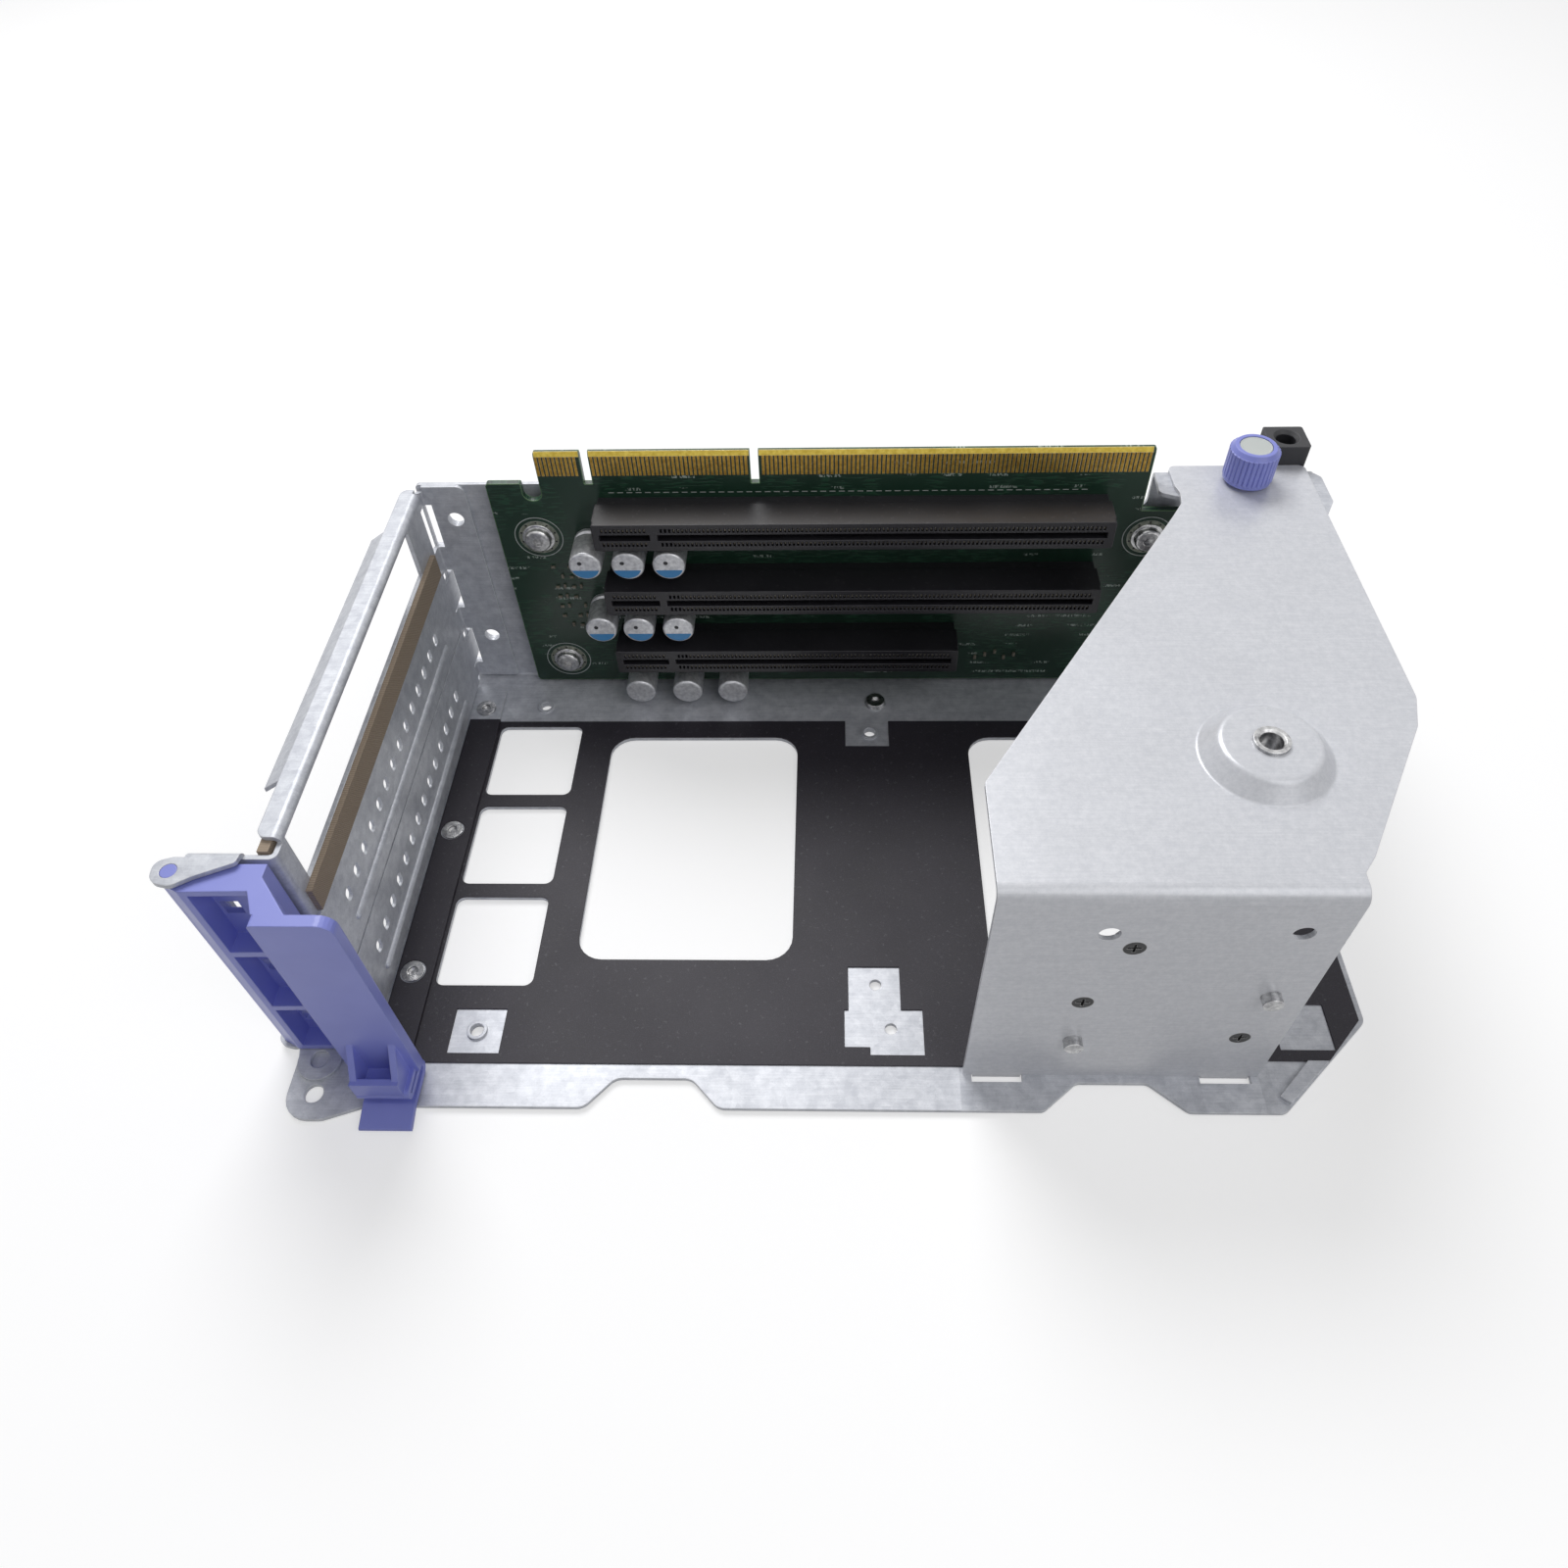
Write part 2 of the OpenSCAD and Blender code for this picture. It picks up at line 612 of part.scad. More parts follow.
module riser_board() color("#1f4a33") on_tray() difference() {
    plate_xz(0, board_t) board_shape();
    edge_bevel(0, 1);
    edge_bevel(board_t, -1);
}

// Contact pads on both faces of the card edge, left out at the key notches.
module gold_contacts() color("goldenrod") on_tray() {
    count = floor(edge_len / contact_pitch);
    for (i = [0:count - 1]) let (x = (i + 0.5) * contact_pitch)
        if (min([for (k = keys) abs(x - k)]) > key_w / 2 + 0.4)
            for (y = [-pad_t, board_t])
                translate([x - pad_w / 2, y, edge_top - 1.2 - pad_h + 0.6]) cube([pad_w, pad_t, pad_h - 0.6]);
}

// A card slot: housing, card opening with its key and a row of contact cells on each side.
module connector(len, z) translate([conn_x, -conn_h, z]) {
    cells = floor((len - 4) / contact_pitch);
    plate_xz(conn_h - 3, conn_h) translate([0.4, -conn_w / 2 + 0.3]) square([len - 0.8, conn_w - 0.6]);
    plate_xz(cell_d, conn_h - 3) difference() {
        translate([0, -conn_w / 2]) square([len, conn_w]);
        card_opening(len);
    }
    plate_xz(0, cell_d) difference() {
        rounded_box(0, -conn_w / 2, len, conn_w / 2, 0.5);
        card_opening(len);
        for (i = [0:cells - 1]) let (x = 2.4 + i * contact_pitch)
            if (abs(x - key_x) > 1.2)
                for (s = [-1, 1]) translate([x - cell_w / 2, s * cell_row - 0.6]) square([cell_w, 1.2]);
    }
}

module card_opening(len) difference() {
    translate([1.6, -0.9]) square([len - 3.2, 1.8]);
    translate([key_x - 0.9, -1]) square([1.8, 2]);
}

module connector_upper() color("#26242a") on_tray() connector(conn_long, conn_z + 2 * slot_pitch);
module connector_middle() color("#26242a") on_tray() connector(conn_long, conn_z + slot_pitch);
module connector_lower() color("#26242a") on_tray() connector(conn_short, conn_z);

// A can capacitor lying along -Y with a rolled groove near its seat.
module capacitor(x, z) translate([x, 0, z]) rotate([90, 0, 0]) rotate_extrude()
    polygon(rounded([[0, 0, 0], [cap_r, 0, 0.3], [cap_r, 1.2, 0.2], [cap_r - 0.5, 1.6, 0.2],
        [cap_r - 0.5, 1.9, 0.2], [cap_r, 2.3, 0.2], [cap_r, cap_len, 0.6], [0, cap_len, 0]], 3));

module capacitor_row(xs, z) color("lightgray") on_tray() for (x = xs) capacitor(x, z);
module capacitors_upper() capacitor_row([9.6, 20, 30], conn_z + 1.5 * slot_pitch + 0.7);
module capacitors_middle() capacitor_row([10.3, 20, 30.1], conn_z + 0.5 * slot_pitch + 0.1);
module capacitors_lower() capacitor_row([17.6, 30.3, 42.6], conn_z - 12.4);

// Small surface-mount parts beside and below the connectors.
module chip_parts() color("#9a8f80") on_tray() {
    for (i = [0:3]) for (j = [0:6])
        if ((i * 3 + j * 2) % 5 != 0)
            translate([-1.8 + i * 2.1, -0.5, 21.6 + j * 3.3]) cube([i % 2 == 0 ? 1 : 0.6, 0.5, i % 2 == 0 ? 0.6 : 1.1]);
    for (i = [0:7]) translate([121.5 + i * 2.2, -0.6, 47.6 + (i % 2) * 0.5]) cube([1.1, 0.6, 0.7]);
    for (i = [0:4]) translate([108 + i * 2.6, -0.6, 9 + (i % 3)]) cube([0.7, 0.6, 1.2]);
}

// Pan-head screw with a washer face, driven along +Y at the board's face.
module board_screws() color("silver") on_tray() for (s = screw_spots) difference() {
    translate([s[0], 0, s[1]]) rotate([90, 0, 0]) rotate_extrude()
        polygon(rounded([[0, -board_t - 2.4, 0], [1.45, -board_t - 2.4, 0.3], [1.45, 0, 0],
            [board_head_r + 0.7, 0, 0], [board_head_r + 0.7, 0.5, 0.2], [board_head_r, 0.6, 0],
            [board_head_r - 0.2, 2, 0.7], [0, 2.2, 0]], 4));
    translate([s[0], -2.4, s[1]]) rotate([-90, 0, 0]) cylinder(h = 1.4, r = 1.3, $fn = 6);
}

// Clinch standoffs that hold the board off the back wall.
module board_standoffs() color("silver") on_tray() for (s = screw_spots) difference() {
    union() {
        along_y(s[0], s[1], board_t, back_in, 3);
        along_y(s[0], s[1], back_in - eps, back_out, standoff_neck);
    }
    along_y(s[0], s[1], board_t - 1, back_out + 1, 1.5);
}

// ---------- end bracket ----------

module bracket_top_shape() polygon(rounded([[bracket_left, bracket_r - bracket_front, 0],
    [bracket_left, -92, 2], [145.7, -15.2, 0.5], [148.8, -10, 1.5], [149.3, -6, 1.5], [148.6, -3.5, 0.8],
    [148.5, back_out, 1.5], [180.2, back_out, 1.5], [180.5, -71, 6], [178.2, -78.5, 4], [161, -108.2, 3],
    [bracket_right, -111.5, 1], [bracket_right, bracket_r - bracket_front, 0]]));

// The boss as a ring of sheet, drawn up to a flat top.
module boss_shell() rotate_extrude() polygon(rounded([[boss_hole, boss_h, 0],
    [boss_hole, boss_h + sheet_t, 0], [boss_flat_r, boss_h + sheet_t, 1.6], [boss_r - 1, sheet_t, 0.8],
    [boss_r, sheet_t, 0], [boss_r, 0, 0], [boss_r - 1.3, 0, 0.8], [boss_flat_r - 0.5, boss_h, 1.2]], 4));

module bracket_wall() difference() {
    plate_xz(-bracket_front, sheet_t - bracket_front) union() {
        translate([bracket_left, 0]) square([bracket_w, bracket_h - bracket_r]);
        for (s = hook_spots) translate([s[0], -sheet_t]) square([s[1], sheet_t + 1]);
    }
    for (h = plain_holes) along_y(h[0], h[1], -bracket_front - 1, -bracket_front + 3, 2);
    for (h = studs) along_y(h[0], h[1], -bracket_front - 1, -bracket_front + 3, stud_r);
    for (h = black_screws) translate([h[0], -bracket_front, h[1]]) rotate([-90, 0, 0])
        cylinder(h = sheet_t, r1 = black_r + 0.1, r2 = black_neck);
}

module end_bracket() color("whitesmoke") on_tray() {
    translate([0, 0, plate_z]) {
        difference() {
            linear_extrude(sheet_t) bracket_top_shape();
            translate([boss_at[0], boss_at[1], -1]) cylinder(h = 4, r = boss_r - 0.05);
            translate([screw_at[0], screw_at[1], -1]) cylinder(h = 4, r = ferrule_r);
        }
        translate([boss_at[0], boss_at[1], 0]) boss_shell();
    }
    plate_yz(bracket_left, bracket_right) translate([bracket_r - bracket_front, bracket_h - bracket_r])
        mirror([1, 0]) fold_2d(bracket_r - sheet_t, sheet_t);
    bracket_wall();
}

module boss_insert() color("silver") on_tray()
    translate([boss_at[0], boss_at[1], plate_z + boss_h]) difference() {
        union() {
            translate([0, 0, -4]) cylinder(h = 4, r = boss_hole + 0.9);
            translate([0, 0, -eps]) cylinder(h = sheet_t + 0.7, r = boss_hole);
        }
        translate([0, 0, -5]) cylinder(h = 8, r = insert_r);
        translate([0, 0, sheet_t + 0.3]) cylinder(h = 0.5, r1 = insert_r, r2 = insert_r + 0.5);
    }

// Countersunk screws, flush in the front wall, with a cross recess.
module bracket_screws() color("#2a2a2c") on_tray() for (h = black_screws)
    translate([h[0], -bracket_front, h[1]]) rotate([-90, 0, 0]) difference() {
        union() {
            cylinder(h = sheet_t, r1 = black_r + 0.1, r2 = black_neck);
            cylinder(h = 5, r = black_neck);
        }
        for (a = [0, 90]) rotate(a) translate([-1.3, -0.25, -0.5]) cube([2.6, 0.5, 1.2]);
    }

module bracket_nuts() color("silver") on_tray() for (h = black_screws)
    translate([h[0], sheet_t - bracket_front, h[1]]) rotate([-90, 0, 0]) difference() {
        cylinder(h = 2, r = 2.9, $fn = 6);
        translate([0, 0, -1]) cylinder(h = 4, r = black_neck + running);
    }

module bracket_studs() color("silver") on_tray() for (h = studs) union() {
    along_y(h[0], h[1], -bracket_front - 2, 1.8 - bracket_front, stud_r);
    along_y(h[0], h[1], sheet_t - bracket_front, 1.8 - bracket_front, stud_r + 1);
}

// ---------- thumbscrew ----------

module at_screw(z) on_tray() translate([screw_at[0], screw_at[1], z]) children();

module thumbscrew_ferrule() color("silver") at_screw(plate_z) difference() {
    union() {
        cylinder(h = sheet_t, r = ferrule_r);
        translate([0, 0, sheet_t]) cylinder(h = 0.6, r = ferrule_r + 0.8);
    }
    translate([0, 0, -1]) cylinder(h = 5, r = screw_r + running);
}

module clinch_nut() color("silver") at_screw(flange_z) difference() {
    union() {
        translate([0, 0, -4.5]) cylinder(h = 4.5, r = nut_spigot_r + 1.2);
        translate([0, 0, -eps]) cylinder(h = sheet_t + eps, r = nut_spigot_r);
    }
    translate([0, 0, -6]) cylinder(h = 10, r = screw_r + running);
}

// The knob's grooved outline.
function knob_outline() = [for (i = [0:knob_grooves - 1]) let (a = 360 * i / knob_grooves, s = 360 / knob_grooves)
    each [knob_r * [cos(a - s * 0.3), sin(a - s * 0.3)], knob_r * [cos(a + s * 0.3), sin(a + s * 0.3)],
        (knob_r - 0.35) * [cos(a + s * 0.5), sin(a + s * 0.5)]]];

module thumbscrew_knob() color("#7b85d8") at_screw(bracket_h + 0.9) difference() {
    union() {
        cylinder(h = 1, r = knob_r - 0.2);
        translate([0, 0, 0.8]) linear_extrude(knob_h - 1.8) polygon(knob_outline());
        translate([0, 0, knob_h - 1.2]) cylinder(h = 1.2, r1 = knob_r - 0.1, r2 = knob_r - 1);
    }
    translate([0, 0, -1]) cylinder(h = knob_h - 1, r = screw_r);
    translate([0, 0, knob_h - 0.5]) cylinder(h = 1, r = knob_r - 1.9);
}

module thumbscrew_shank() color("silver") at_screw(flange_z - 6.5)
    cylinder(h = 6.5 + 2 * sheet_t + 0.9 + knob_h - 2, r = screw_r);

// ---------- alignment block ----------

module alignment_block() color("#2c2c30") on_tray() {
    difference() {
        translate([0, 0, block_top - block_h]) linear_extrude(block_h)
            rounded_box(block_x, back_out, block_x + block_w, back_out + block_d, 0.6);
        translate([block_x + block_w / 2, back_out + block_d / 2, block_top - block_h - 1])
            cylinder(h = block_h + 2, r = guide_r);
        translate([block_x + block_w / 2, back_out + block_d / 2, block_top - 0.8])
            cylinder(h = 0.9, r1 = guide_r, r2 = guide_r + 0.9);
    }
    for (z = peg_z) along_y(block_x + block_w / 2, z, back_in, back_out + eps, peg_r);
}

module floor_screw() color("silver") translate([floor_screw_at[0], floor_screw_at[1], 0]) difference() {
    union() {
        cylinder(h = sheet_t, r = 1.5);
        translate([0, 0, sheet_t]) cylinder(h = 1.2, r1 = 2.9, r2 = 2.5);
    }
    translate([0, 0, sheet_t + 0.5]) cylinder(h = 1, r = 1.2, $fn = 6);
}

// ---------- latch ----------

// Plan of the frame and of the slanting arm that carries the strap.
module latch_plan() polygon([[-46.4, frame_back], [-31.3, frame_back], [-31.3, -109], [-24.9, strap_back],
    [strap_x, strap_back], [-33, -112], [-45.6, frame_front], [-48.9, -110.4]]);

module latch_recess() polygon([[-44.3, frame_back - latch_wall], [-33.2, frame_back - latch_wall],
    [-33.2, -113], [-44.3, -113]]);

module latch_frame() difference() {
    union() {
        translate([0, 0, latch_z0]) linear_extrude(latch_z1 - latch_z0) latch_plan();
        translate([pivot[0], pivot[1], latch_z0]) cylinder(h = latch_z1 - latch_z0, r = barrel_r);
    }
    for (r = latch_rows) {
        translate([0, 0, r[0]]) linear_extrude(r[1] - r[0]) latch_recess();
        block([-43.8, frame_back - 3, r[1] - 12.5], [-40.2, frame_back + 1, r[1] - 8.5]);
    }
}

// Thumb scoop: two cheeks and a bar in front of the strap.
module latch_scoop() {
    for (x = [scoop_x, scoop_x + scoop_w - latch_wall]) plate_yz(x, x + latch_wall)
        polygon([[strap_front, 17.6], [scoop_front + 1, 10.9], [scoop_front + 1, leg_z], [strap_front, leg_z]]);
    block([scoop_x, scoop_front, leg_z + 0.6], [scoop_x + scoop_w, scoop_front + 1.5, 10.9]);
}

// The folded spring under the scoop and the release tab at its end, drawn in Y and Z.
module latch_spring() {
    front = fold_front - 0.45;
    back = fold_back + 0.95;
    mid = leg_z - 0.9;
    low = low_leg + leg_t;
    polygon(rounded([[strap_back - 0.1, leg_z + leg_t, 0], [front - leg_t, leg_z + leg_t, 1.6],
        [front - leg_t, mid - leg_t, 1.6], [back, mid - leg_t, 0.9], [back, low, 0.9], [-124.4, low, 1],
        [-129.5, low_leg - 0.1, 0.5], [-129.5, low_leg - leg_t - 0.1, 0.5], [-124.4, low_leg, 1],
        [back + leg_t, low_leg, 2.1], [back + leg_t, mid, 2.1], [front, mid, 0.42], [front, leg_z, 0.42],
        [strap_back - 0.1, leg_z, 0]]));
}

module release_latch() color("#6f79cf") on_tray() {
    latch_frame();
    plate_xz(strap_front, strap_back) polygon(rounded([[strap_x, leg_z, 0], [strap_x + strap_w, leg_z, 1],
        [strap_x + strap_w, latch_z1, 3], [strap_x, latch_z1, 0.6]]));
    latch_scoop();
    plate_yz(scoop_x, scoop_x + scoop_w + 1) latch_spring();
    for (z = [0.05, latch_z1 - 0.05]) translate([pivot[0], pivot[1], z])
        cylinder(h = sheet_t + side_gap, r = pivot_r);
}

tray();
insulating_film();
slot_wall();
filler_middle();
filler_lower();
slot_gaskets();
tray_rivets();
riser_board();
gold_contacts();
connector_upper();
connector_middle();
connector_lower();
capacitors_upper();
capacitors_middle();
capacitors_lower();
chip_parts();
board_screws();
board_standoffs();
end_bracket();
boss_insert();
bracket_screws();
bracket_nuts();
bracket_studs();
thumbscrew_ferrule();
clinch_nut();
thumbscrew_knob();
thumbscrew_shank();
alignment_block();
floor_screw();
release_latch();
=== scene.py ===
"""Looks of the riser cage bracket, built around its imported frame. Lengths are in metres."""
import json
import math

import bpy
from mathutils import Matrix, Vector


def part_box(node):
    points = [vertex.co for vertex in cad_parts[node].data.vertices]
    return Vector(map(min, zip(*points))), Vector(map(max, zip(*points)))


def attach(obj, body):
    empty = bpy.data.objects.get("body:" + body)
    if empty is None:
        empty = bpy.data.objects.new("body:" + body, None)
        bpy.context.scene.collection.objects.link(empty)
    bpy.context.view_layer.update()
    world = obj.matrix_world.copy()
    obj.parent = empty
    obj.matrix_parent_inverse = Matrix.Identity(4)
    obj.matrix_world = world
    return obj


MM = 0.001

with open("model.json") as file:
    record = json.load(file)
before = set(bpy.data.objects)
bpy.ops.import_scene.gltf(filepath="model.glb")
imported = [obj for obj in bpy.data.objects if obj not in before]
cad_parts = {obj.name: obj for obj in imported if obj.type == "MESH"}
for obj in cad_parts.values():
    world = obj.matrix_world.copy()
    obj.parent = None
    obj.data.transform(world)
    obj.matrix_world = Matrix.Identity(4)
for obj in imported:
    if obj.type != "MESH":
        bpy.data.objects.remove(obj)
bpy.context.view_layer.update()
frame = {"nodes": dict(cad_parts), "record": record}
nodes = frame["nodes"]


# ---------- colours and node trees ----------

def tint(red, green, blue):
    """Turns a screen colour of 0 to 255 into the linear colour that shaders use."""
    def linear(value):
        value /= 255
        return value / 12.92 if value <= 0.04045 else ((value + 0.055) / 1.055) ** 2.4
    return (linear(red), linear(green), linear(blue), 1.0)


class Tree:
    """Short calls that build one node tree."""

    def __init__(self, tree):
        self.tree = tree

    def add(self, kind, inputs=None, **settings):
        made = self.tree.nodes.new(kind)
        for name, value in settings.items():
            setattr(made, name, value)
        for name, value in (inputs or {}).items():
            self.put(made.inputs[name], value)
        return made

    def put(self, socket, value):
        if isinstance(value, bpy.types.NodeSocket):
            self.tree.links.new(value, socket)
        else:
            socket.default_value = value

    def calc(self, operation, first, second=0.0, clamp=False):
        made = self.add("ShaderNodeMath", operation=operation, use_clamp=clamp)
        for socket, value in zip(made.inputs, (first, second)):
            self.put(socket, value)
        return made.outputs[0]

    def mix(self, factor, first, second):
        made = self.add("ShaderNodeMix", data_type="RGBA")
        self.put(made.inputs["Factor"], factor)
        self.put(made.inputs["A"], first)
        self.put(made.inputs["B"], second)
        return made.outputs["Result"]

    def span(self, value, low, high, to_low=0.0, to_high=1.0):
        """Maps low..high of a value to to_low..to_high, and holds it there."""
        made = self.add("ShaderNodeMapRange", {"Value": value, "From Min": low, "From Max": high,
                                               "To Min": to_low, "To Max": to_high}, clamp=True)
        return made.outputs["Result"]

    def place(self):
        return self.add("ShaderNodeTexCoord").outputs["Object"]

    def scaled(self, vector, scale, turn=(0, 0, 0), shift=(0, 0, 0)):
        return self.add("ShaderNodeMapping", {"Vector": vector, "Scale": scale, "Rotation": turn,
                                              "Location": shift}).outputs["Vector"]

    def noise(self, vector, scale, detail=2.0, roughness=0.5):
        return self.add("ShaderNodeTexNoise", {"Vector": vector, "Scale": scale, "Detail": detail,
                                               "Roughness": roughness}).outputs["Fac"]

    def cells(self, vector, scale):
        """A random colour for each cell."""
        return self.add("ShaderNodeTexVoronoi", {"Vector": vector, "Scale": scale}).outputs["Color"]

    def parts(self, vector):
        return self.add("ShaderNodeSeparateXYZ", {"Vector": vector}).outputs

    def seen_white(self):
        """1 for the rays that show the white surroundings, 0 for the light they give."""
        path = self.add("ShaderNodeLightPath").outputs
        mirrored = self.calc("MAXIMUM", path["Is Glossy Ray"], path["Is Transmission Ray"])
        return self.calc("MAXIMUM", path["Is Camera Ray"], mirrored)


def make_group(name, inputs, outputs, build):
    """A shader node group with named sockets; build fills it and returns its outputs by name."""
    tree = bpy.data.node_groups.new(name, "ShaderNodeTree")
    for label, kind, value in inputs:
        socket = tree.interface.new_socket(label, in_out="INPUT", socket_type=kind)
        if value is not None:
            socket.default_value = value
    for label, kind in outputs:
        tree.interface.new_socket(label, in_out="OUTPUT", socket_type=kind)
    t = Tree(tree)
    given = t.add("NodeGroupInput").outputs
    end = t.add("NodeGroupOutput")
    for label, value in build(t, given).items():
        t.put(end.inputs[label], value)
    return tree


def use(t, group, **inputs):
    """Puts a group into a tree, an underscore standing for a space, and returns its outputs."""
    made = t.add("ShaderNodeGroup", node_tree=group)
    for name, value in inputs.items():
        t.put(made.inputs[name.replace("_", " ")], value)
    return made.outputs


NUMBER, VECTOR = "NodeSocketFloat", "NodeSocketVector"


def build_soft_edge(t, given):
    """A rounded normal near edges, and a mask of those edges."""
    bevel = t.add("ShaderNodeBevel", {"Radius": given["Radius"]}, samples=6)
    plain = t.add("ShaderNodeNewGeometry").outputs["Normal"]
    dot = t.add("ShaderNodeVectorMath", operation="DOT_PRODUCT")
    t.put(dot.inputs[0], bevel.outputs["Normal"])
    t.put(dot.inputs[1], plain)
    mask = t.span(dot.outputs["Value"], 0.995, 0.9)
    return {"Normal": bevel.outputs["Normal"], "Mask": mask}


def build_rolled_grain(t, given):
    """Fine streaks of rolled sheet along X, soft mottling of its zinc coat and a height for both."""
    place = t.place()
    streak = t.noise(t.scaled(place, (120, 2600, 2600)), 1.0, 3.0, 0.6)
    speck = t.noise(place, 3200.0, 2.0, 0.6)
    coat = t.noise(place, given["Mottle scale"], 4.0, 0.62)
    flake = t.cells(place, t.calc("MULTIPLY", given["Mottle scale"], 1.6))
    flake = t.add("ShaderNodeSeparateColor", {"Color": flake}).outputs[0]
    tone = t.calc("ADD", t.calc("MULTIPLY", streak, 0.25), t.calc("MULTIPLY", coat, 0.45))
    tone = t.calc("ADD", tone, t.calc("MULTIPLY", flake, given["Flake"]))
    tone = t.calc("ADD", tone, t.calc("MULTIPLY", speck, 0.15))
    height = t.calc("ADD", t.calc("MULTIPLY", streak, 0.5), t.calc("MULTIPLY", speck, 0.5))
    return {"Tone": tone, "Height": height}


def build_fine_scratches(t, given):
    """Thin short scratches in three directions."""
    place = t.place()
    found = None
    for turn, seed in ((0.35, 0.0), (-0.6, 4.1), (1.2, 9.3)):
        line = t.noise(t.scaled(place, (40, 5200, 5200), (turn, turn, turn), (seed, seed, 0)), 1.0, 1.0)
        where = t.noise(t.scaled(place, (1, 1, 1), (0, 0, 0), (seed, 1, seed)), 70.0, 1.0)
        line = t.calc("MULTIPLY", t.span(line, 0.72, 0.76), t.span(where, 0.56, 0.62))
        found = line if found is None else t.calc("MAXIMUM", found, line)
    return {"Mask": t.calc("MULTIPLY", found, given["Amount"], clamp=True)}


def build_moulded_skin(t, given):
    """The fine spark-eroded skin of moulded plastic."""
    place = t.place()
    skin = t.noise(place, given["Scale"], 3.0, 0.65)
    cloud = t.noise(place, 60.0, 3.0, 0.55)
    return {"Height": skin, "Cloud": cloud}


def build_handling(t, given):
    """Soft smudges and dust that change how rough a surface looks."""
    place = t.place()
    smudge = t.noise(place, 45.0, 4.0, 0.6)
    dust = t.span(t.noise(place, 900.0, 2.0, 0.7), 0.62, 0.8)
    return {"Smudge": smudge, "Dust": t.calc("MULTIPLY", dust, given["Dust"])}


def build_pressed_creases(t, given):
    """How far the tray's front strip is pressed down between its creases, from 0 to 1."""
    x, y, _ = t.parts(t.place())
    front = t.span(y, -113.0 * MM, -113.4 * MM)
    dip = t.span(x, 96.2 * MM, 98.9 * MM)
    for start, end in ((144.0, 146.2), (158.5, 161.0)):
        rise = t.calc("MULTIPLY", t.span(x, start * MM, end * MM), 0.5)
        dip = t.calc("SUBTRACT", dip, rise)
    return {"Height": t.calc("SUBTRACT", 1.0, t.calc("MULTIPLY", dip, front))}


soft_edge = make_group("soft_edge", [("Radius", NUMBER, 0.0003)],
                       [("Normal", VECTOR), ("Mask", NUMBER)], build_soft_edge)
rolled_grain = make_group("rolled_grain", [("Mottle scale", NUMBER, 300.0), ("Flake", NUMBER, 0.15)],
                          [("Tone", NUMBER), ("Height", NUMBER)], build_rolled_grain)
fine_scratches = make_group("fine_scratches", [("Amount", NUMBER, 1.0)],
                            [("Mask", NUMBER)], build_fine_scratches)
pressed_creases = make_group("pressed_creases", [], [("Height", NUMBER)], build_pressed_creases)
moulded_skin = make_group("moulded_skin", [("Scale", NUMBER, 2500.0)],
                          [("Height", NUMBER), ("Cloud", NUMBER)], build_moulded_skin)
handling = make_group("handling", [("Dust", NUMBER, 0.3)],
                      [("Smudge", NUMBER), ("Dust", NUMBER)], build_handling)


def start_material(name, metallic=0.0, specular=0.5):
    """A material with a plain shader: returns it, its tree and the shader's inputs."""
    made = bpy.data.materials.new(name)
    made.use_nodes = True
    made.node_tree.nodes.clear()
    t = Tree(made.node_tree)
    shader = t.add("ShaderNodeBsdfPrincipled", {"Metallic": metallic, "Specular IOR Level": specular})
    t.add("ShaderNodeOutputMaterial", {"Surface": shader.outputs["BSDF"]})
    return made, t, shader.inputs


def finish_surface(t, shader, colour, roughness, height=None, bump=0.0, edge=None, form=None):
    """Plugs in colour, roughness and relief; form is a second relief, half a millimetre deep."""
    t.put(shader["Base Color"], colour)
    t.put(shader["Roughness"], roughness)
    normal = edge["Normal"] if edge else None
    for relief, distance in ((form, 0.5 * MM), (height, bump)):
        if relief is None:
            continue
        raised = t.add("ShaderNodeBump", {"Height": relief, "Strength": 1.0, "Distance": distance})
        if normal is not None:
            t.put(raised.inputs["Normal"], normal)
        normal = raised.outputs["Normal"]
    if normal is not None:
        t.put(shader["Normal"], normal)


SHEET_ROUGH = (0.29, 0.42)       # from clean to handled


def zinc_sheet(name, low, high, metallic, mottle, fleck, scratch=0.6, creased=False):
    """Galvanised sheet: rolled grain, zinc mottling, scratches and a painted highlight along its edges."""
    made, t, shader = start_material(name, metallic)
    grain = use(t, rolled_grain, Mottle_scale=mottle, Flake=fleck)
    marks = use(t, fine_scratches, Amount=scratch)
    touch = use(t, handling, Dust=0.2)
    edge = use(t, soft_edge, Radius=0.00025)
    colour = t.mix(t.span(grain["Tone"], 0.36, 0.64), low, high)
    colour = t.mix(t.calc("MULTIPLY", marks["Mask"], 0.35), colour, tint(250, 250, 250))
    # painted highlight: near every edge the colour is mixed towards near-white
    colour = t.mix(t.calc("MULTIPLY", edge["Mask"], 0.45), colour, tint(246, 247, 250))
    roughness = t.span(touch["Smudge"], 0.3, 0.7, SHEET_ROUGH[0], SHEET_ROUGH[1])
    roughness = t.calc("ADD", roughness, t.calc("MULTIPLY", touch["Dust"], 0.3), clamp=True)
    form = use(t, pressed_creases)["Height"] if creased else None
    finish_surface(t, shader, colour, roughness, grain["Height"], 0.000012, edge, form)
    return made


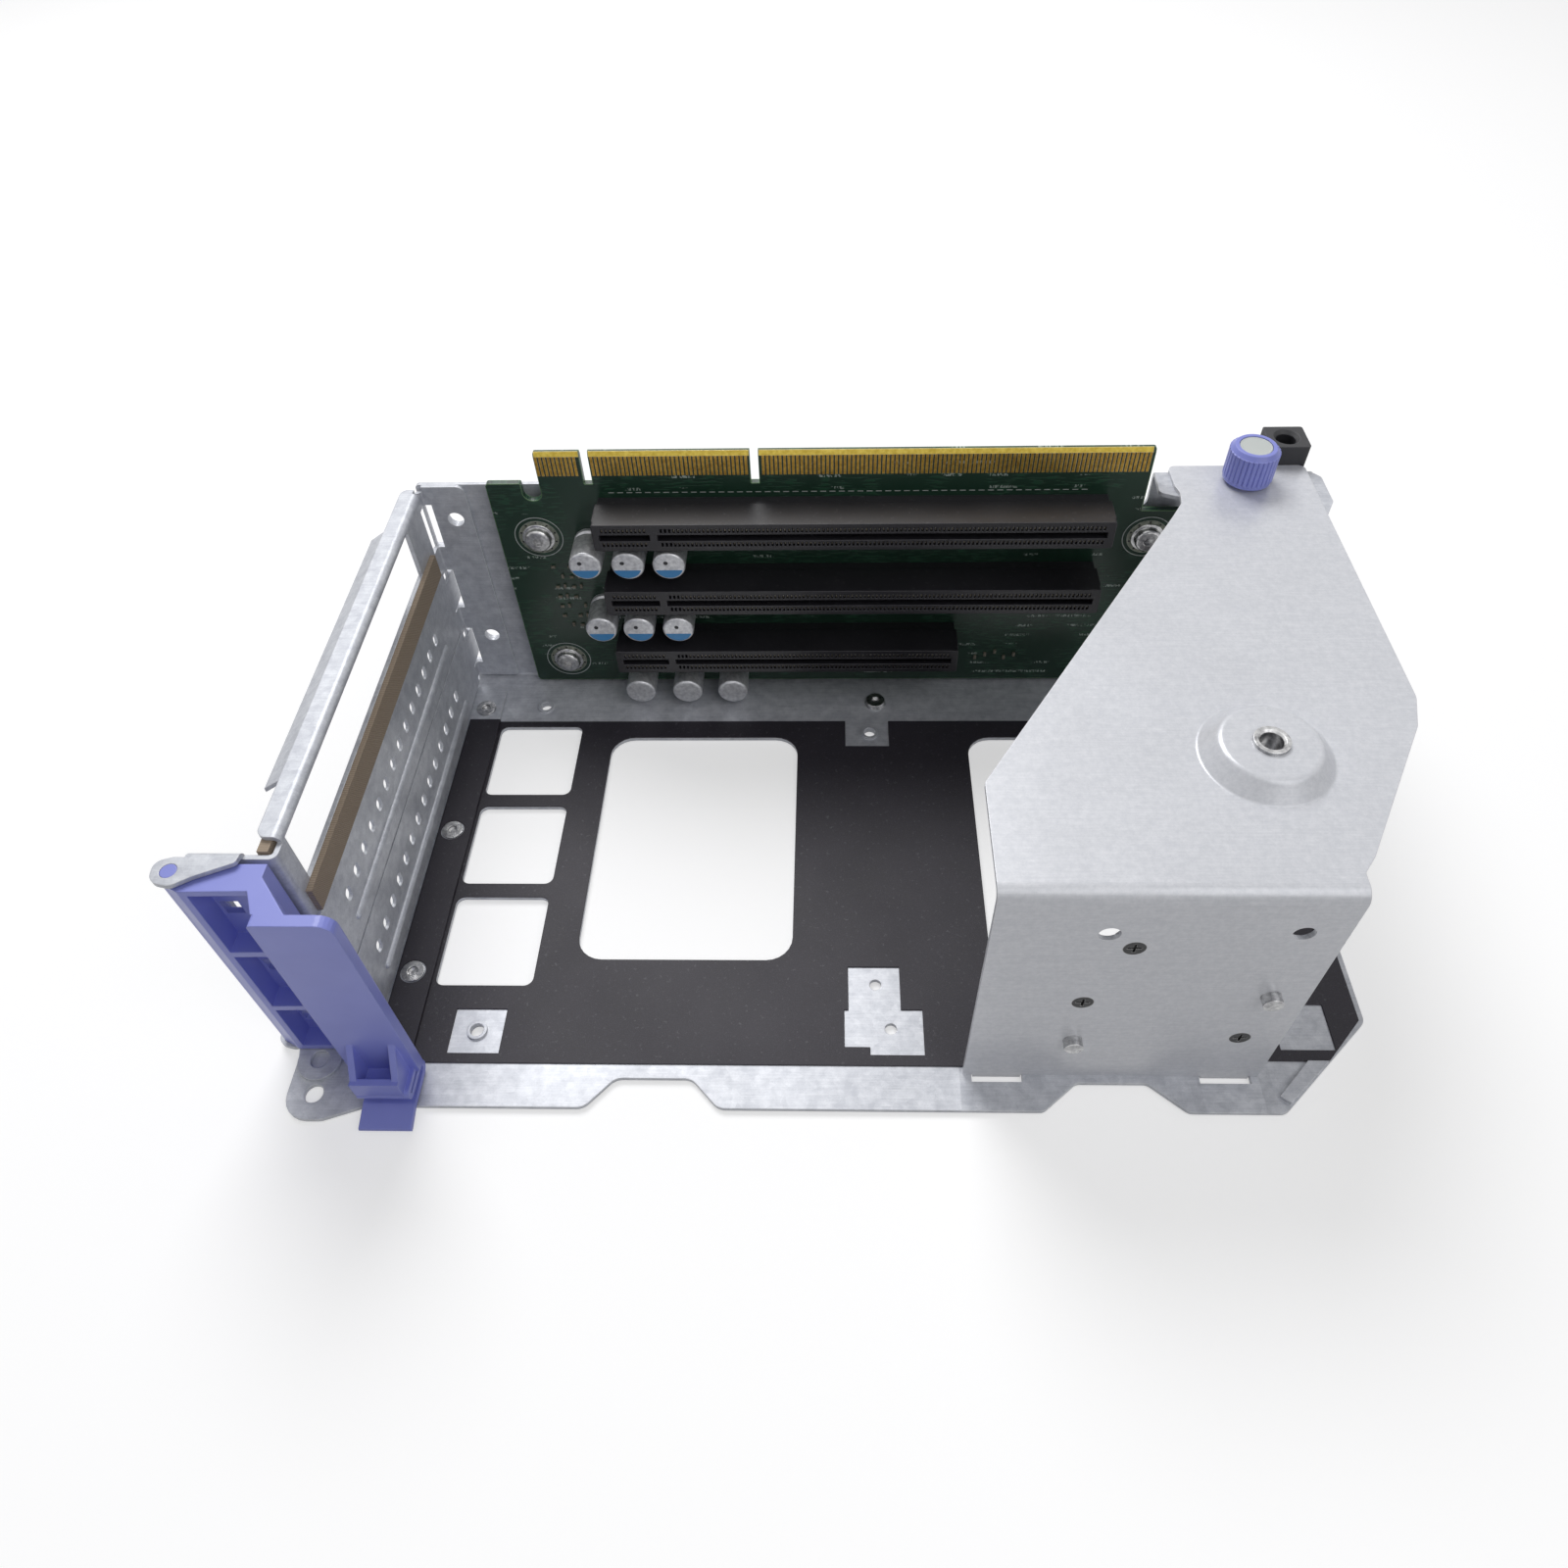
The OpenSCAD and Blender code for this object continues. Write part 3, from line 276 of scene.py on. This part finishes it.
def moulded_plastic(name, dark, light, rough, skin=2500.0, dust=0.3, edge_highlight_tint=None):
    """Moulded plastic or paint with a fine skin, a painted highlight along its edges and a little dust."""
    made, t, shader = start_material(name)
    surface = use(t, moulded_skin, Scale=skin)
    touch = use(t, handling, Dust=dust)
    edge = use(t, soft_edge, Radius=0.0003)
    colour = t.mix(surface["Cloud"], dark, light)
    # painted highlight: near every edge the colour is mixed towards a lighter edge colour
    colour = t.mix(t.calc("MULTIPLY", edge["Mask"], 0.35), colour, edge_highlight_tint or light)
    colour = t.mix(t.calc("MULTIPLY", touch["Dust"], 0.25), colour, tint(190, 190, 190))
    roughness = t.span(touch["Smudge"], 0.3, 0.7, rough - 0.06, rough + 0.08)
    finish_surface(t, shader, colour, roughness, surface["Height"], 0.00001, edge)
    return made


def plated_metal(name, low, high, rough, metallic=1.0):
    """Plated screws, nuts and rivets, with a painted highlight along their edges."""
    made, t, shader = start_material(name, metallic)
    touch = use(t, handling, Dust=0.25)
    edge = use(t, soft_edge, Radius=0.00015)
    fine = t.noise(t.place(), 900.0, 3.0, 0.6)
    colour = t.mix(t.span(fine, 0.35, 0.65), low, high)
    # painted highlight: near every edge the colour is mixed towards near-white
    colour = t.mix(t.calc("MULTIPLY", edge["Mask"], 0.4), colour, tint(250, 250, 250))
    roughness = t.span(touch["Smudge"], 0.3, 0.7, rough - 0.06, rough + 0.1)
    finish_surface(t, shader, colour, roughness, fine, 0.000008, edge)
    return made


def film_material():
    """Black insulating film with a fine cast texture and pale dust."""
    made, t, shader = start_material("black_film", 0.0, 0.35)
    surface = use(t, moulded_skin, Scale=4200.0)
    touch = use(t, handling, Dust=1.0)
    fleck = t.span(t.noise(t.place(), 5200.0, 1.0, 0.5), 0.5, 0.78)
    colour = t.mix(surface["Cloud"], tint(31, 29, 35), tint(47, 44, 52))
    colour = t.mix(t.calc("MULTIPLY", fleck, 0.4), colour, tint(78, 75, 86))
    colour = t.mix(t.calc("MULTIPLY", touch["Dust"], 0.2), colour, tint(150, 150, 155))
    roughness = t.span(touch["Smudge"], 0.3, 0.7, 0.52, 0.56)
    finish_surface(t, shader, colour, roughness, surface["Height"], 0.00002,
                   use(t, soft_edge, Radius=0.0002))
    return made


def gasket_material():
    """Woven conductive cloth over foam."""
    made, t, shader = start_material("brown_gasket", 0.0, 0.3)
    place = t.place()
    _, y, z = t.parts(place)
    threads = 2 * math.pi / (0.55 * MM)
    warp = t.calc("SINE", t.calc("MULTIPLY", y, threads))
    weft = t.calc("SINE", t.calc("MULTIPLY", z, threads))
    weave = t.calc("MULTIPLY", warp, weft)
    cloud = t.noise(place, 120.0, 3.0)
    colour = t.mix(t.span(weave, -1, 1), tint(138, 124, 108), tint(176, 160, 142))
    colour = t.mix(t.calc("MULTIPLY", cloud, 0.3), colour, tint(150, 132, 116))
    roughness = t.span(cloud, 0.3, 0.7, 0.7, 0.85)
    finish_surface(t, shader, colour, roughness, weave, 0.00005)
    return made


def board_material():
    """Solder mask over copper: faint tracks, rows of small print and pale cut edges."""
    made, t, shader = start_material("green_board", 0.0, 0.5)
    place = t.place()
    z = t.parts(place)[2]
    surface = use(t, moulded_skin, Scale=1500.0)
    touch = use(t, handling, Dust=0.3)
    edge = use(t, soft_edge, Radius=0.0004)
    colour = t.mix(surface["Cloud"], tint(13, 38, 27), tint(22, 58, 41))
    track = t.noise(t.scaled(place, (260, 1, 2100)), 1.0, 1.0)
    where = t.noise(place, 75.0, 1.0)
    track = t.calc("MULTIPLY", t.span(track, 0.55, 0.58), t.span(where, 0.46, 0.5))
    colour = t.mix(t.calc("MULTIPLY", track, 0.45), colour, tint(40, 88, 62))
    row = t.calc("FRACT", t.calc("DIVIDE", z, 3.4 * MM))
    row = t.calc("MULTIPLY", t.span(row, 0.3, 0.34), t.span(row, 0.56, 0.52))
    dash = t.span(t.noise(t.scaled(place, (2300, 1, 800)), 1.0, 2.0, 0.7), 0.5, 0.54)
    block = t.span(t.noise(place, 105.0, 0.0), 0.6, 0.62)
    marks = t.calc("MULTIPLY", t.calc("MULTIPLY", row, dash), block)
    colour = t.mix(t.calc("MULTIPLY", marks, 0.75), colour, tint(186, 198, 190))
    colour = t.mix(t.calc("MULTIPLY", edge["Mask"], 0.7), colour, tint(140, 184, 128))
    roughness = t.span(touch["Smudge"], 0.3, 0.7, 0.26, 0.4)
    finish_surface(t, shader, colour, roughness, track, 0.00002, edge)
    return made


materials = {
    "bright_sheet": zinc_sheet("bright_sheet", tint(176, 179, 188), tint(212, 215, 221), 0.14, 380.0, 0.08),
    "tray_sheet": zinc_sheet("tray_sheet", tint(180, 183, 191), tint(218, 220, 226), 0.14, 380.0, 0.08,
                             creased=True),
    "bracket_sheet": zinc_sheet("bracket_sheet", tint(202, 204, 210), tint(222, 223, 228), 0.2, 900.0, 0.02,
                                scratch=0.4),
    "bright_hardware": plated_metal("bright_hardware", tint(150, 150, 152), tint(206, 206, 206), 0.26),
    "black_hardware": plated_metal("black_hardware", tint(18, 18, 20), tint(40, 40, 42), 0.35, 0.3),
    "gold_plating": plated_metal("gold_plating", tint(176, 134, 52), tint(212, 172, 78), 0.3, 0.75),
    "black_film": film_material(),
    "brown_gasket": gasket_material(),
    # the edge colours given to the plastics below are painted highlights along their edges
    "black_plastic": moulded_plastic("black_plastic", tint(24, 23, 27), tint(41, 40, 45), 0.42,
                                     edge_highlight_tint=tint(74, 72, 80)),
    "black_block": moulded_plastic("black_block", tint(30, 30, 33), tint(48, 48, 52), 0.5,
                                   edge_highlight_tint=tint(96, 96, 102)),
    "green_board": board_material(),
    "capacitor_can": plated_metal("capacitor_can", tint(186, 187, 192), tint(222, 223, 226), 0.34, 0.5),
    "chip_ceramic": moulded_plastic("chip_ceramic", tint(92, 84, 70), tint(150, 144, 130), 0.5),
    "blue_plastic": moulded_plastic("blue_plastic", tint(122, 130, 208), tint(144, 151, 226), 0.34,
                                    skin=1800.0, dust=0.1, edge_highlight_tint=tint(172, 178, 240)),
    "blue_print": moulded_plastic("blue_print", tint(58, 134, 196), tint(78, 154, 212), 0.4),
    "black_print": moulded_plastic("black_print", tint(24, 24, 28), tint(40, 40, 46), 0.5),
    "pale_print": moulded_plastic("pale_print", tint(178, 184, 182), tint(208, 212, 210), 0.5),
    # contact leaves: a dark bronze, partly their dull plating and partly painted shade of the card slot
    "dull_and_shaded_contact": plated_metal("dull_and_shaded_contact", tint(70, 66, 58), tint(112, 104, 84), 0.4, 0.5),
    "pale_pad": plated_metal("pale_pad", tint(112, 118, 106), tint(150, 154, 140), 0.35, 0.4),
    "edge_gold": plated_metal("edge_gold", tint(206, 176, 62), tint(232, 206, 92), 0.32, 0.5),
}

slot_of = {entry["node"]: entry["material_slot"] for entry in frame["record"]["subparts"]}
for name, node in nodes.items():
    node.data.materials.clear()
    node.data.materials.append(materials["tray_sheet" if name == "tray" else slot_of[name]])


# ---------- pieces that the solids leave out ----------

PRINT_T = 0.02 * MM              # thickness of print on the board
CONTACT_PITCH = 1.0 * MM
FIRST_CONTACT = 2.4 * MM         # from a connector's left end
CONTACTS_TO_KEY = 11             # contacts left of a connector's key
AFTER_KEY = 17                   # number of the first contact right of it
CONTACT_ROW = 2.0 * MM           # contact rows, from the middle of a connector
CONNECTOR_END = 4.0 * MM
LEAF = Vector((0.34, 0.5, 0.9)) * MM
EDGE_KEYS = (11.8 * MM, 51.4 * MM)
BEVEL_H = 1.25 * MM              # height of the plating over the card edge's bevel
SCREWS = ((-3.1, 52.0), (-3.1, 10.1), (146.5, 51.0), (146.5, 10.1))
PAD_R = 4.9 * MM
VIA_RING_R = 4.35 * MM
PRINT_RING_R = 6.0 * MM
VIAS = 10
RIVETS_Y = (-11.4, -53.2, -93.2)

connector_low, connector_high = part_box("connector_upper")
board_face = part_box("riser_board")[0][1]


def clear_selection():
    bpy.ops.object.select_all(action="DESELECT")


def settle(name, body, slot, finish=None):
    """Names the active piece, gives it its finish and lets it ride on its body."""
    piece = bpy.context.active_object
    bpy.ops.object.transform_apply(location=True, rotation=True, scale=True)
    piece.name = piece.data.name = name
    piece.data.materials.clear()
    piece.data.materials.append(materials[finish or slot])
    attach(piece, body)


def start_block(low, high):
    """A cube between two corners, ready to be shaped."""
    clear_selection()
    bpy.ops.mesh.primitive_cube_add(size=1.0, location=[(a + b) / 2 for a, b in zip(low, high)])
    piece = bpy.context.active_object
    piece.scale = [b - a for a, b in zip(low, high)]
    bpy.ops.object.transform_apply(location=True, rotation=True, scale=True)
    return piece


def start_disc(centre, radius, depth, along="Z", sides=40):
    """A flat round disc whose axis runs along Y or Z."""
    clear_selection()
    turn = (math.radians(90), 0, 0) if along == "Y" else (0, 0, 0)
    bpy.ops.mesh.primitive_cylinder_add(vertices=sides, radius=radius, depth=depth, location=centre,
                                        rotation=turn)
    bpy.ops.object.transform_apply(location=True, rotation=True, scale=True)
    return bpy.context.active_object


def edit_faces(piece, wanted):
    """Opens edit mode with the faces selected whose normal lies along wanted."""
    bpy.ops.object.mode_set(mode="EDIT")
    bpy.ops.mesh.select_mode(type="FACE")
    bpy.ops.mesh.select_all(action="DESELECT")
    bpy.ops.object.mode_set(mode="OBJECT")
    for face in piece.data.polygons:
        face.select = face.normal.dot(Vector(wanted)) > 0.9
    bpy.ops.object.mode_set(mode="EDIT")


def leave_edit():
    bpy.ops.object.mode_set(mode="OBJECT")


def dish(piece, wanted, rim, move):
    """Insets the faces that look along wanted by a rim and moves them."""
    edit_faces(piece, wanted)
    bpy.ops.mesh.inset(thickness=rim)
    bpy.ops.transform.translate(value=move)
    leave_edit()


def soften(piece, width, segments=2):
    """Rounds a piece's sharp edges."""
    bevel = piece.modifiers.new("soften", "BEVEL")
    bevel.width = width
    bevel.segments = segments
    bevel.limit_method = "ANGLE"
    bpy.ops.object.modifier_apply(modifier=bevel.name)


def repeat(piece, count, step):
    """Repeats a shaped piece along a line and makes it one mesh."""
    row = piece.modifiers.new("repeat", "ARRAY")
    row.count = count
    row.use_relative_offset = False
    row.use_constant_offset = True
    row.constant_offset_displace = step
    bpy.ops.object.modifier_apply(modifier=row.name)


def join(pieces):
    """Joins the pieces to the first of them."""
    clear_selection()
    for piece in pieces:
        piece.select_set(True)
    bpy.context.view_layer.objects.active = pieces[0]
    bpy.ops.object.join()


def copied(piece, shifts):
    """Adds a copy of the piece, with its own mesh, at each shift, and joins them to it."""
    made = [piece]
    for shift in shifts:
        copy = piece.copy()
        copy.data = piece.data.copy()
        copy.data.transform(Matrix.Translation(shift))
        bpy.context.scene.collection.objects.link(copy)
        made.append(copy)
    join(made)


def contact_leaf(x, z, side):
    """One bent contact leaf whose tip points at the card opening."""
    front = connector_low[1] + 0.9 * MM
    leaf = start_block((x - LEAF.x / 2, front, z - LEAF.z / 2),
                       (x + LEAF.x / 2, front + LEAF.y, z + LEAF.z / 2))
    edit_faces(leaf, (0, -1, 0))
    reach = (0, -0.55 * MM, -side * 0.12 * MM)
    bpy.ops.mesh.extrude_region_move(TRANSFORM_OT_translate={"value": reach})
    bpy.ops.transform.resize(value=(1.0, 1.0, 0.6))
    leave_edit()
    return leaf


def contact_row(name, node, side):
    """All contacts on one side of a connector."""
    low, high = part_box(node)
    z = (low[2] + high[2]) / 2 + side * CONTACT_ROW
    cells = int((high[0] - low[0] - CONNECTOR_END) / CONTACT_PITCH + 0.01)
    rows = []
    for first, count in ((0, CONTACTS_TO_KEY), (AFTER_KEY, cells - AFTER_KEY)):
        leaf = contact_leaf(low[0] + FIRST_CONTACT + first * CONTACT_PITCH, z, side)
        repeat(leaf, count, (CONTACT_PITCH, 0, 0))
        rows.append(leaf)
    join(rows)
    # the leaves take the dark contact finish, which holds painted shade of the card slot
    settle(name, "cage", "gold_plating", "dull_and_shaded_contact")


def edge_bands():
    """Plating that runs over the bevel of the card edge, one strip on each side of each key."""
    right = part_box("gold_contacts")[1][0]
    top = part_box("riser_board")[1][2]
    ends = [0.2 * MM] + [k + s * 1.15 * MM for k in EDGE_KEYS for s in (-1, 1)] + [right + 0.1 * MM]
    for number in range(0, len(ends), 2):
        strip = start_block((ends[number], -0.06 * MM, top - BEVEL_H), (ends[number + 1], 0.04 * MM, top))
        edit_faces(strip, (0, 0, 1))
        bpy.ops.transform.translate(value=(0, 0.42 * MM, 0))
        leave_edit()
        settle("edge_band_%d" % (number // 2 + 1), "cage", "gold_plating", "edge_gold")


def print_ring(centre):
    """A thin printed circle: both ends of a disc are cut open and bridged."""
    circle = start_disc(centre, PRINT_RING_R, PRINT_T, "Y", 64)
    for side in (-1, 1):
        edit_faces(circle, (0, side, 0))
        bpy.ops.mesh.inset(thickness=0.22 * MM)
        bpy.ops.mesh.delete(type="FACE")
    bpy.ops.mesh.select_mode(type="EDGE")
    bpy.ops.mesh.select_all(action="DESELECT")
    bpy.ops.mesh.select_non_manifold()
    bpy.ops.mesh.bridge_edge_loops()
    leave_edit()


def screw_pads():
    """A bare pad with small vias, shown as black discs of painted shade, and a printed circle round each
    board screw.
    """
    for number, (x, z) in enumerate(SCREWS, 1):
        centre = Vector((x * MM, board_face - PRINT_T, z * MM))
        pad = start_disc(centre, PAD_R, 2 * PRINT_T, "Y", 56)
        dish(pad, (0, -1, 0), 0.2 * MM, (0, 0.012 * MM, 0))
        settle("screw_pad_%d" % number, "cage", "bright_hardware", "pale_pad")
        # painted shade: each via hole is drawn as a thin black disc on the pad
        via = start_disc(centre + Vector((0, -PRINT_T, VIA_RING_R)), 0.28 * MM, 0.03 * MM, "Y", 10)
        angles = [2 * math.pi * i / VIAS for i in range(1, VIAS)]
        copied(via, [Vector((VIA_RING_R * math.sin(a), 0, VIA_RING_R * (math.cos(a) - 1))) for a in angles])
        settle("screw_pad_vias_%d" % number, "cage", "bright_hardware", "black_print")
        print_ring(centre)
        settle("print_circle_%d" % number, "cage", "green_board", "pale_print")


def capacitor_marks(row, count, seed):
    """The printed blue segment and the dot on the end of each can of a row."""
    low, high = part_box(row)
    radius = (high[2] - low[2]) / 2
    middle = (low[2] + high[2]) / 2
    face = low[1] - PRINT_T
    for number in range(count):
        x = low[0] + radius + (high[0] - low[0] - 2 * radius) * number / (count - 1)
        start_disc((x, face, middle), radius - 0.55 * MM, 2 * PRINT_T, "Y")
        bpy.ops.object.mode_set(mode="EDIT")
        bpy.ops.mesh.select_all(action="SELECT")
        bpy.ops.mesh.bisect(plane_co=(x, face, middle - 0.25 * radius), plane_no=(0, 0, 1),
                            use_fill=True, clear_outer=True)
        leave_edit()
        settle("%s_blue_%d" % (row, number + 1), "cage", "capacitor_can", "blue_print")
        aside = 1.2 * MM * math.cos(seed + 0.5 * number)
        dot = start_disc((x - aside, face, middle + 1.1 * MM), 0.55 * MM, 2 * PRINT_T, "Y", 20)
        soften(dot, 0.01 * MM, 1)
        settle("%s_dot_%d" % (row, number + 1), "cage", "capacitor_can", "black_print")


def knob_disc():
    """The pale disc let into the thumbscrew's top."""
    low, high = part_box("thumbscrew_knob")
    centre = ((low[0] + high[0]) / 2, (low[1] + high[1]) / 2, high[2] - 0.3 * MM)
    disc = start_disc(centre, (high[0] - low[0]) / 2 - 2.0 * MM, 0.38 * MM, "Z", 48)
    dish(disc, (0, 0, 1), 0.5 * MM, (0, 0, -0.08 * MM))
    soften(disc, 0.05 * MM)
    settle("knob_disc", "thumbscrew", "bright_hardware", "pale_print")


def rivet_cores():
    """The closed, slightly dished heads of the rivets."""
    low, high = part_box("tray_rivets")
    for number, y in enumerate(RIVETS_Y, 1):
        core = start_disc(((low[0] + high[0]) / 2, y * MM, 1.5 * MM), 1.25 * MM, 1.0 * MM, "Z", 32)
        dish(core, (0, 0, 1), 0.5 * MM, (0, 0, -0.25 * MM))
        settle("rivet_core_%d" % number, "cage", "bright_hardware")


def board_print():
    """A line of dashes above the upper connector and two framed fields under it."""
    left, under, over = connector_low[0], connector_low[2], connector_high[2]
    dash = start_block((left + 3 * MM, board_face - PRINT_T, over + 1.0 * MM),
                       (left + 4.4 * MM, board_face, over + 1.22 * MM))
    repeat(dash, 52, (2.2 * MM, 0, 0))
    settle("print_dashes", "cage", "green_board", "pale_print")
    for number, (x0, x1) in enumerate(((44.0, 66.0), (88.0, 98.0)), 1):
        field = start_block((x0 * MM, board_face - 0.03 * MM, under - 2.2 * MM),
                            (x1 * MM, board_face, under - 0.9 * MM))
        dish(field, (0, -1, 0), 0.2 * MM, (0, 0.015 * MM, 0))
        settle("print_field_%d" % number, "cage", "green_board", "pale_pad")


for level in ("upper", "middle", "lower"):
    for side, word in ((1, "top"), (-1, "bottom")):
        contact_row("contacts_" + level + "_" + word, "connector_" + level, side)
edge_bands()
screw_pads()
capacitor_marks("capacitors_upper", 3, 0.0)
capacitor_marks("capacitors_middle", 3, 0.3)
knob_disc()
rivet_cores()
board_print()


# ---------- floor, light and camera ----------

FLOOR_Z = -0.4 * MM
FLOOR_LIFT = 0.52                # how much whiter the floor is shown than it is
WORLD_LIGHT = 0.24               # strength of the light that the white surroundings give
AIM = (0.07, -0.05, 0.03)        # point that the lamps look at
KEY_PLACE, KEY_SIZE, KEY_POWER = (-0.16, 0.52, 0.88), 0.6, 7.7
FILL_PLACE, FILL_SIZE, FILL_POWER = (0.55, -0.55, 0.75), 0.8, 2.3
CAMERA_PLACE = (0.06946, -0.21952, 0.22384)
CAMERA_TURN = (2.48, -48.7, 1.91)     # degrees about Z, then X, then its own line of sight


def area_light(name, place, size, power):
    """A soft round lamp that looks at the object."""
    lamp = bpy.data.lights.new(name, "AREA")
    lamp.shape = "DISK"
    lamp.size = size
    lamp.energy = power
    made = bpy.data.objects.new(name, lamp)
    bpy.context.scene.collection.objects.link(made)
    made.location = place
    made.rotation_euler = (Vector(AIM) - Vector(place)).to_track_quat("-Z", "Y").to_euler()


def pale_floor():
    """A pale floor that is shown nearly white and keeps the object's shadow."""
    clear_selection()
    bpy.ops.mesh.primitive_plane_add(size=6.0, location=(0.08, -0.06, FLOOR_Z))
    floor = bpy.context.active_object
    floor.name = "floor"
    made, t, shader = start_material("floor_white", 0.0, 0.1)
    cloud = t.noise(t.place(), 2.0, 2.0)
    t.put(shader["Base Color"], t.mix(cloud, (0.54, 0.54, 0.545, 1), (0.57, 0.57, 0.575, 1)))
    t.put(shader["Roughness"], t.span(cloud, 0.3, 0.7, 0.8, 0.9))
    t.put(shader["Emission Color"], (1, 1, 1, 1))
    t.put(shader["Emission Strength"], t.calc("MULTIPLY", t.seen_white(), FLOOR_LIFT))
    floor.data.materials.append(made)


def white_world():
    """White surroundings that light the object only softly."""
    world = bpy.data.worlds.new("studio")
    bpy.context.scene.world = world
    world.use_nodes = True
    world.node_tree.nodes.clear()
    t = Tree(world.node_tree)
    strength = t.span(t.seen_white(), 0.0, 1.0, WORLD_LIGHT, 1.0)
    back = t.add("ShaderNodeBackground", {"Color": (1, 1, 1, 1), "Strength": strength})
    t.add("ShaderNodeOutputWorld", {"Surface": back.outputs[0]})


def place_camera():
    """The camera that the object is shown from."""
    camera = bpy.data.cameras.new("camera")
    made = bpy.data.objects.new("camera", camera)
    bpy.context.scene.collection.objects.link(made)
    turn = Matrix.Identity(4)
    for degrees, axis in zip(CAMERA_TURN + (90,), "ZXYX"):
        turn = turn @ Matrix.Rotation(math.radians(degrees), 4, axis)
    made.matrix_world = Matrix.Translation(CAMERA_PLACE) @ turn
    camera.sensor_width = 36.0
    camera.lens = 25.556
    camera.shift_x = -0.0104
    camera.shift_y = -0.0247
    camera.clip_start = 0.01
    camera.clip_end = 20.0
    bpy.context.scene.camera = made


pale_floor()
white_world()
area_light("key_light", KEY_PLACE, KEY_SIZE, KEY_POWER)
area_light("fill_light", FILL_PLACE, FILL_SIZE, FILL_POWER)
place_camera()
bpy.context.scene.view_settings.view_transform = "Standard"
